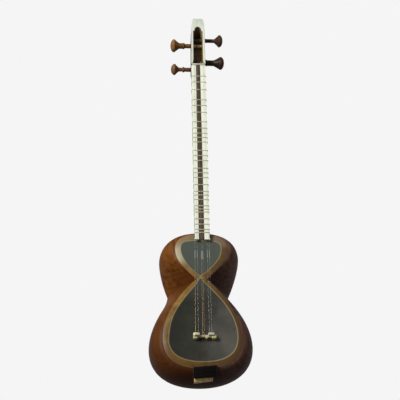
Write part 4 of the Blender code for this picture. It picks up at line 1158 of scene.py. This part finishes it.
blocks = [rounded_block(block, BRIDGE_BAR_ROUNDING if i == 1 else BRIDGE_ROUNDING)
          for i, block in enumerate(BRIDGE_BLOCKS)]
bridge_mesh = work(carved(blocks[0], *blocks[1:], operation="UNION"),
                   ("REMESH", dict(mode="VOXEL", voxel_size=0.0005)), ("SMOOTH", dict(factor=0.6, iterations=14)))
bridge_notches = [notch(facts["bridge"], BRIDGE_BAR_Y if number in LOW_WIRES else BRIDGE_TOP_Y, facts["radius"],
                        below(SCALE_LENGTH + 0.02), below(SCALE_LENGTH - 0.02))
                  for number, facts in enumerate(WIRES, start=1)]
bridge_bone = bone_finish("bridge_bone", (214, 208, 176))
bridge_x, bridge_y, bridge_z = bridge_bone.axes()
low_down = 1 - bridge_z.rise(below(SCALE_LENGTH + 0.0046), below(SCALE_LENGTH + 0.0020))
foot_part = bridge_y.rise(-0.0040, -0.0024)
# Painted shade: the left knob's right side is greyed, and its middle and lower part are olive.
bridge_bone.over(bridge_x.rise(-0.0160, -0.0120) * (1 - bridge_x.rise(-0.0062, -0.0050)) * 0.45, rgb(168, 156, 130))
bridge_bone.over(bridge_x.rise(-0.0162, -0.0140) * (1 - bridge_x.rise(-0.0080, -0.0060)) * low_down * (1 - foot_part),
                 rgb(120, 104, 56))
bar_part = bridge_x.rise(-0.0068, -0.0050) * (1 - bridge_x.rise(0.0090, 0.0110))
bridge_bone.over(bar_part * 0.8, rgb(150, 140, 118))
bridge_bone.over(bridge_x.rise(0.0090, 0.0110) * 0.75, rgb(176, 172, 162))
# Painted shade: the lower faces of the right cap are olive.
bridge_bone.over(bridge_x.rise(0.0090, 0.0110) * low_down * 0.8, rgb(140, 128, 84))
# Painted light: the feet's lower faces are painted light; the right foot is partly its own yellow-green.
bridge_bone.over(foot_part * low_down * bridge_x.rise(0.0020, 0.0040), rgb(196, 178, 130))
bridge_bone.over(foot_part * bridge_x.rise(0.0150, 0.0172), rgb(206, 204, 132))
bridge_bone.over(foot_part * (1 - bridge_x.rise(-0.0090, -0.0070)), rgb(216, 212, 164))
make_piece("carved_bridge", carved(bridge_mesh, *bridge_notches), bridge_bone, ["bridge"])


# THE TAIL
# A block of black wood, seated on the bowl's own curve, guards its edge under the wires. A
# bar of horn below it is sawn with a slot for each wire's hook.
SLOT_DEPTH = 0.0009


def tail_mesh(name, section, span, slant):
    """A piece across the bowl's lower edge, seated on the bowl's own curve."""
    ends = [[on_tail(x, place, span, slant) for place in section] for x in span]
    return eased(carved(loft(name, ends), instrument_body), 0.0004)


def hook_slot(facts):
    """The saw slot for one wire's hook, round the bar's lower edge."""
    top, lip, heel = [Vector(place) for place in BAR_SECTION[:3]]
    front, under = outward(top, lip), outward(lip, heel)
    corner = (front + under).normalized()
    line = ((lip + (top - lip) * 0.3, front), (lip, corner), (lip + (heel - lip) * 0.8, under))
    outside = [place + way * SLOT_DEPTH for place, way in line]
    inside = [place - way * SLOT_DEPTH for place, way in reversed(line)]
    half = facts["radius"] * 1.4
    return loft("slot", [[on_tail(facts["bridge"] + side, place, BAR_SPAN, BAR_SLANT) for place in outside + inside]
                         for side in (-half, half)])


black_wood = wood_finish("black_wood", (15, 12, 12), (24, 19, 19), (36, 29, 27), 0.42, (0.08, 1, 1))
block_x = black_wood.axes()[0]
black_wood.over(abs(block_x - sum(BLOCK_SPAN) / 2).rise(0.0219, 0.0228) * 0.5, rgb(96, 82, 66))
make_piece("black_block", tail_mesh("block", BLOCK_SECTION, BLOCK_SPAN, BLOCK_SLANT),
           black_wood, ["tail_block"])
bar_mesh = tail_mesh("bar", BAR_SECTION, BAR_SPAN, BAR_SLANT)
make_piece("horn_bar", carved(bar_mesh, *[hook_slot(facts) for facts in WIRES]),
           bone_finish("golden_horn", (224, 192, 124), 0.72, 180), ["tail_bone_bar"])


# THE CAMERA
# It stands below the instrument and a little to its left, and looks up at it. Its lens and
# place were fitted to the frets, whose real spacing is known.
PHOTO_SIDE = 400
PHOTO_FOCAL = 708.9
SENSOR = 36.0
CAMERA_PITCH = math.radians(30.43)
CAMERA_YAW = math.radians(3.56)
CAMERA_ROLL = math.radians(-0.90)
CAMERA_PLACE = Vector((-0.083, -1.312, -1.2928))
ahead = Vector((math.sin(CAMERA_YAW) * math.cos(CAMERA_PITCH),
                math.cos(CAMERA_YAW) * math.cos(CAMERA_PITCH), math.sin(CAMERA_PITCH)))
level = Vector((math.cos(CAMERA_YAW), -math.sin(CAMERA_YAW), 0))
upright = level.cross(ahead)
right = math.cos(CAMERA_ROLL) * level + math.sin(CAMERA_ROLL) * upright
up = -math.sin(CAMERA_ROLL) * level + math.cos(CAMERA_ROLL) * upright
lens = bpy.data.cameras.new("camera")
lens.sensor_width = SENSOR
lens.lens = PHOTO_FOCAL / PHOTO_SIDE * SENSOR
lens.clip_start = 0.01
camera = bpy.data.objects.new("camera", lens)
camera.matrix_world = Matrix.Translation(CAMERA_PLACE) @ Matrix((right, up, -ahead)).transposed().to_4x4()
bpy.context.scene.collection.objects.link(camera)
bpy.context.scene.camera = camera


# THE STUDIO
# A pale floor far below the hanging instrument, pale air all round, one large soft lamp
# high at the front left, and a weak one at the front right.
FLOOR_Z = -1.75
FLOOR_SIZE = 8.0
PALE = 0.913
GLOSSY_SHARE = 0.20
AMBIENT = 0.20


def seen_pale(tree, own, pale):
    """Mixes what lights the instrument with what the camera and reflections see."""
    path = tree.nodes.new("ShaderNodeLightPath")
    dim = tree.nodes.new("ShaderNodeMath")
    dim.operation = "MULTIPLY"
    tree.links.new(path.outputs["Is Glossy Ray"], dim.inputs[0])
    dim.inputs[1].default_value = GLOSSY_SHARE
    seen = dim.outputs[0]
    for ray in ("Is Camera Ray", "Is Transmission Ray"):
        most = tree.nodes.new("ShaderNodeMath")
        most.operation = "MAXIMUM"
        tree.links.new(path.outputs[ray], most.inputs[0])
        tree.links.new(seen, most.inputs[1])
        seen = most.outputs[0]
    blend = tree.nodes.new("ShaderNodeMixShader")
    tree.links.new(seen, blend.inputs[0])
    tree.links.new(own, blend.inputs[1])
    tree.links.new(pale, blend.inputs[2])
    return blend.outputs[0]


world = bpy.data.worlds.new("studio")
bpy.context.scene.world = world
world.use_nodes = True
world.node_tree.nodes.clear()
glow, white = [world.node_tree.nodes.new("ShaderNodeBackground") for _ in range(2)]
glow.inputs["Color"].default_value = (1, 1, 1, 1)
glow.inputs["Strength"].default_value = AMBIENT
white.inputs["Color"].default_value = (PALE, PALE, PALE, 1)
sky = world.node_tree.nodes.new("ShaderNodeOutputWorld")
world.node_tree.links.new(seen_pale(world.node_tree, glow.outputs[0], white.outputs[0]), sky.inputs["Surface"])

floor_finish = Finish("pale_floor", Roughness=0.9)
floor_finish.shader.inputs["Base Color"].default_value = (0.82, 0.82, 0.82, 1)
dark_bounce = floor_finish.tree.nodes.new("ShaderNodeBsdfDiffuse")
dark_bounce.inputs["Color"].default_value = (0.25, 0.25, 0.25, 1)
floor_finish.tree.links.new(seen_pale(floor_finish.tree, dark_bounce.outputs[0], floor_finish.shader.outputs[0]),
                            floor_finish.tree.nodes["Material Output"].inputs["Surface"])
bm = bmesh.new()
bmesh.ops.create_grid(bm, x_segments=1, y_segments=1, size=FLOOR_SIZE / 2)
floor = bpy.data.objects.new("floor", to_mesh("floor", bm))
floor.data.materials.append(floor_finish.material)
floor.location = (0, 0, FLOOR_Z)
bpy.context.scene.collection.objects.link(floor)

for name, place, size, power in (("window", (-1.61, -1.95, -0.08), 1.0, 70),
                                 ("front", (1.5, -2.2, 0.2), 1.4, 5)):
    light = bpy.data.lights.new(name, "AREA")
    light.shape = "DISK"
    light.size = size
    light.energy = power
    lamp = bpy.data.objects.new(name, light)
    lamp.location = place
    lamp.rotation_euler = (Vector((0, 0, -0.6)) - lamp.location).to_track_quat("-Z", "Y").to_euler()
    lamp.visible_camera = False
    bpy.context.scene.collection.objects.link(lamp)

bpy.context.scene.view_settings.view_transform = "Standard"
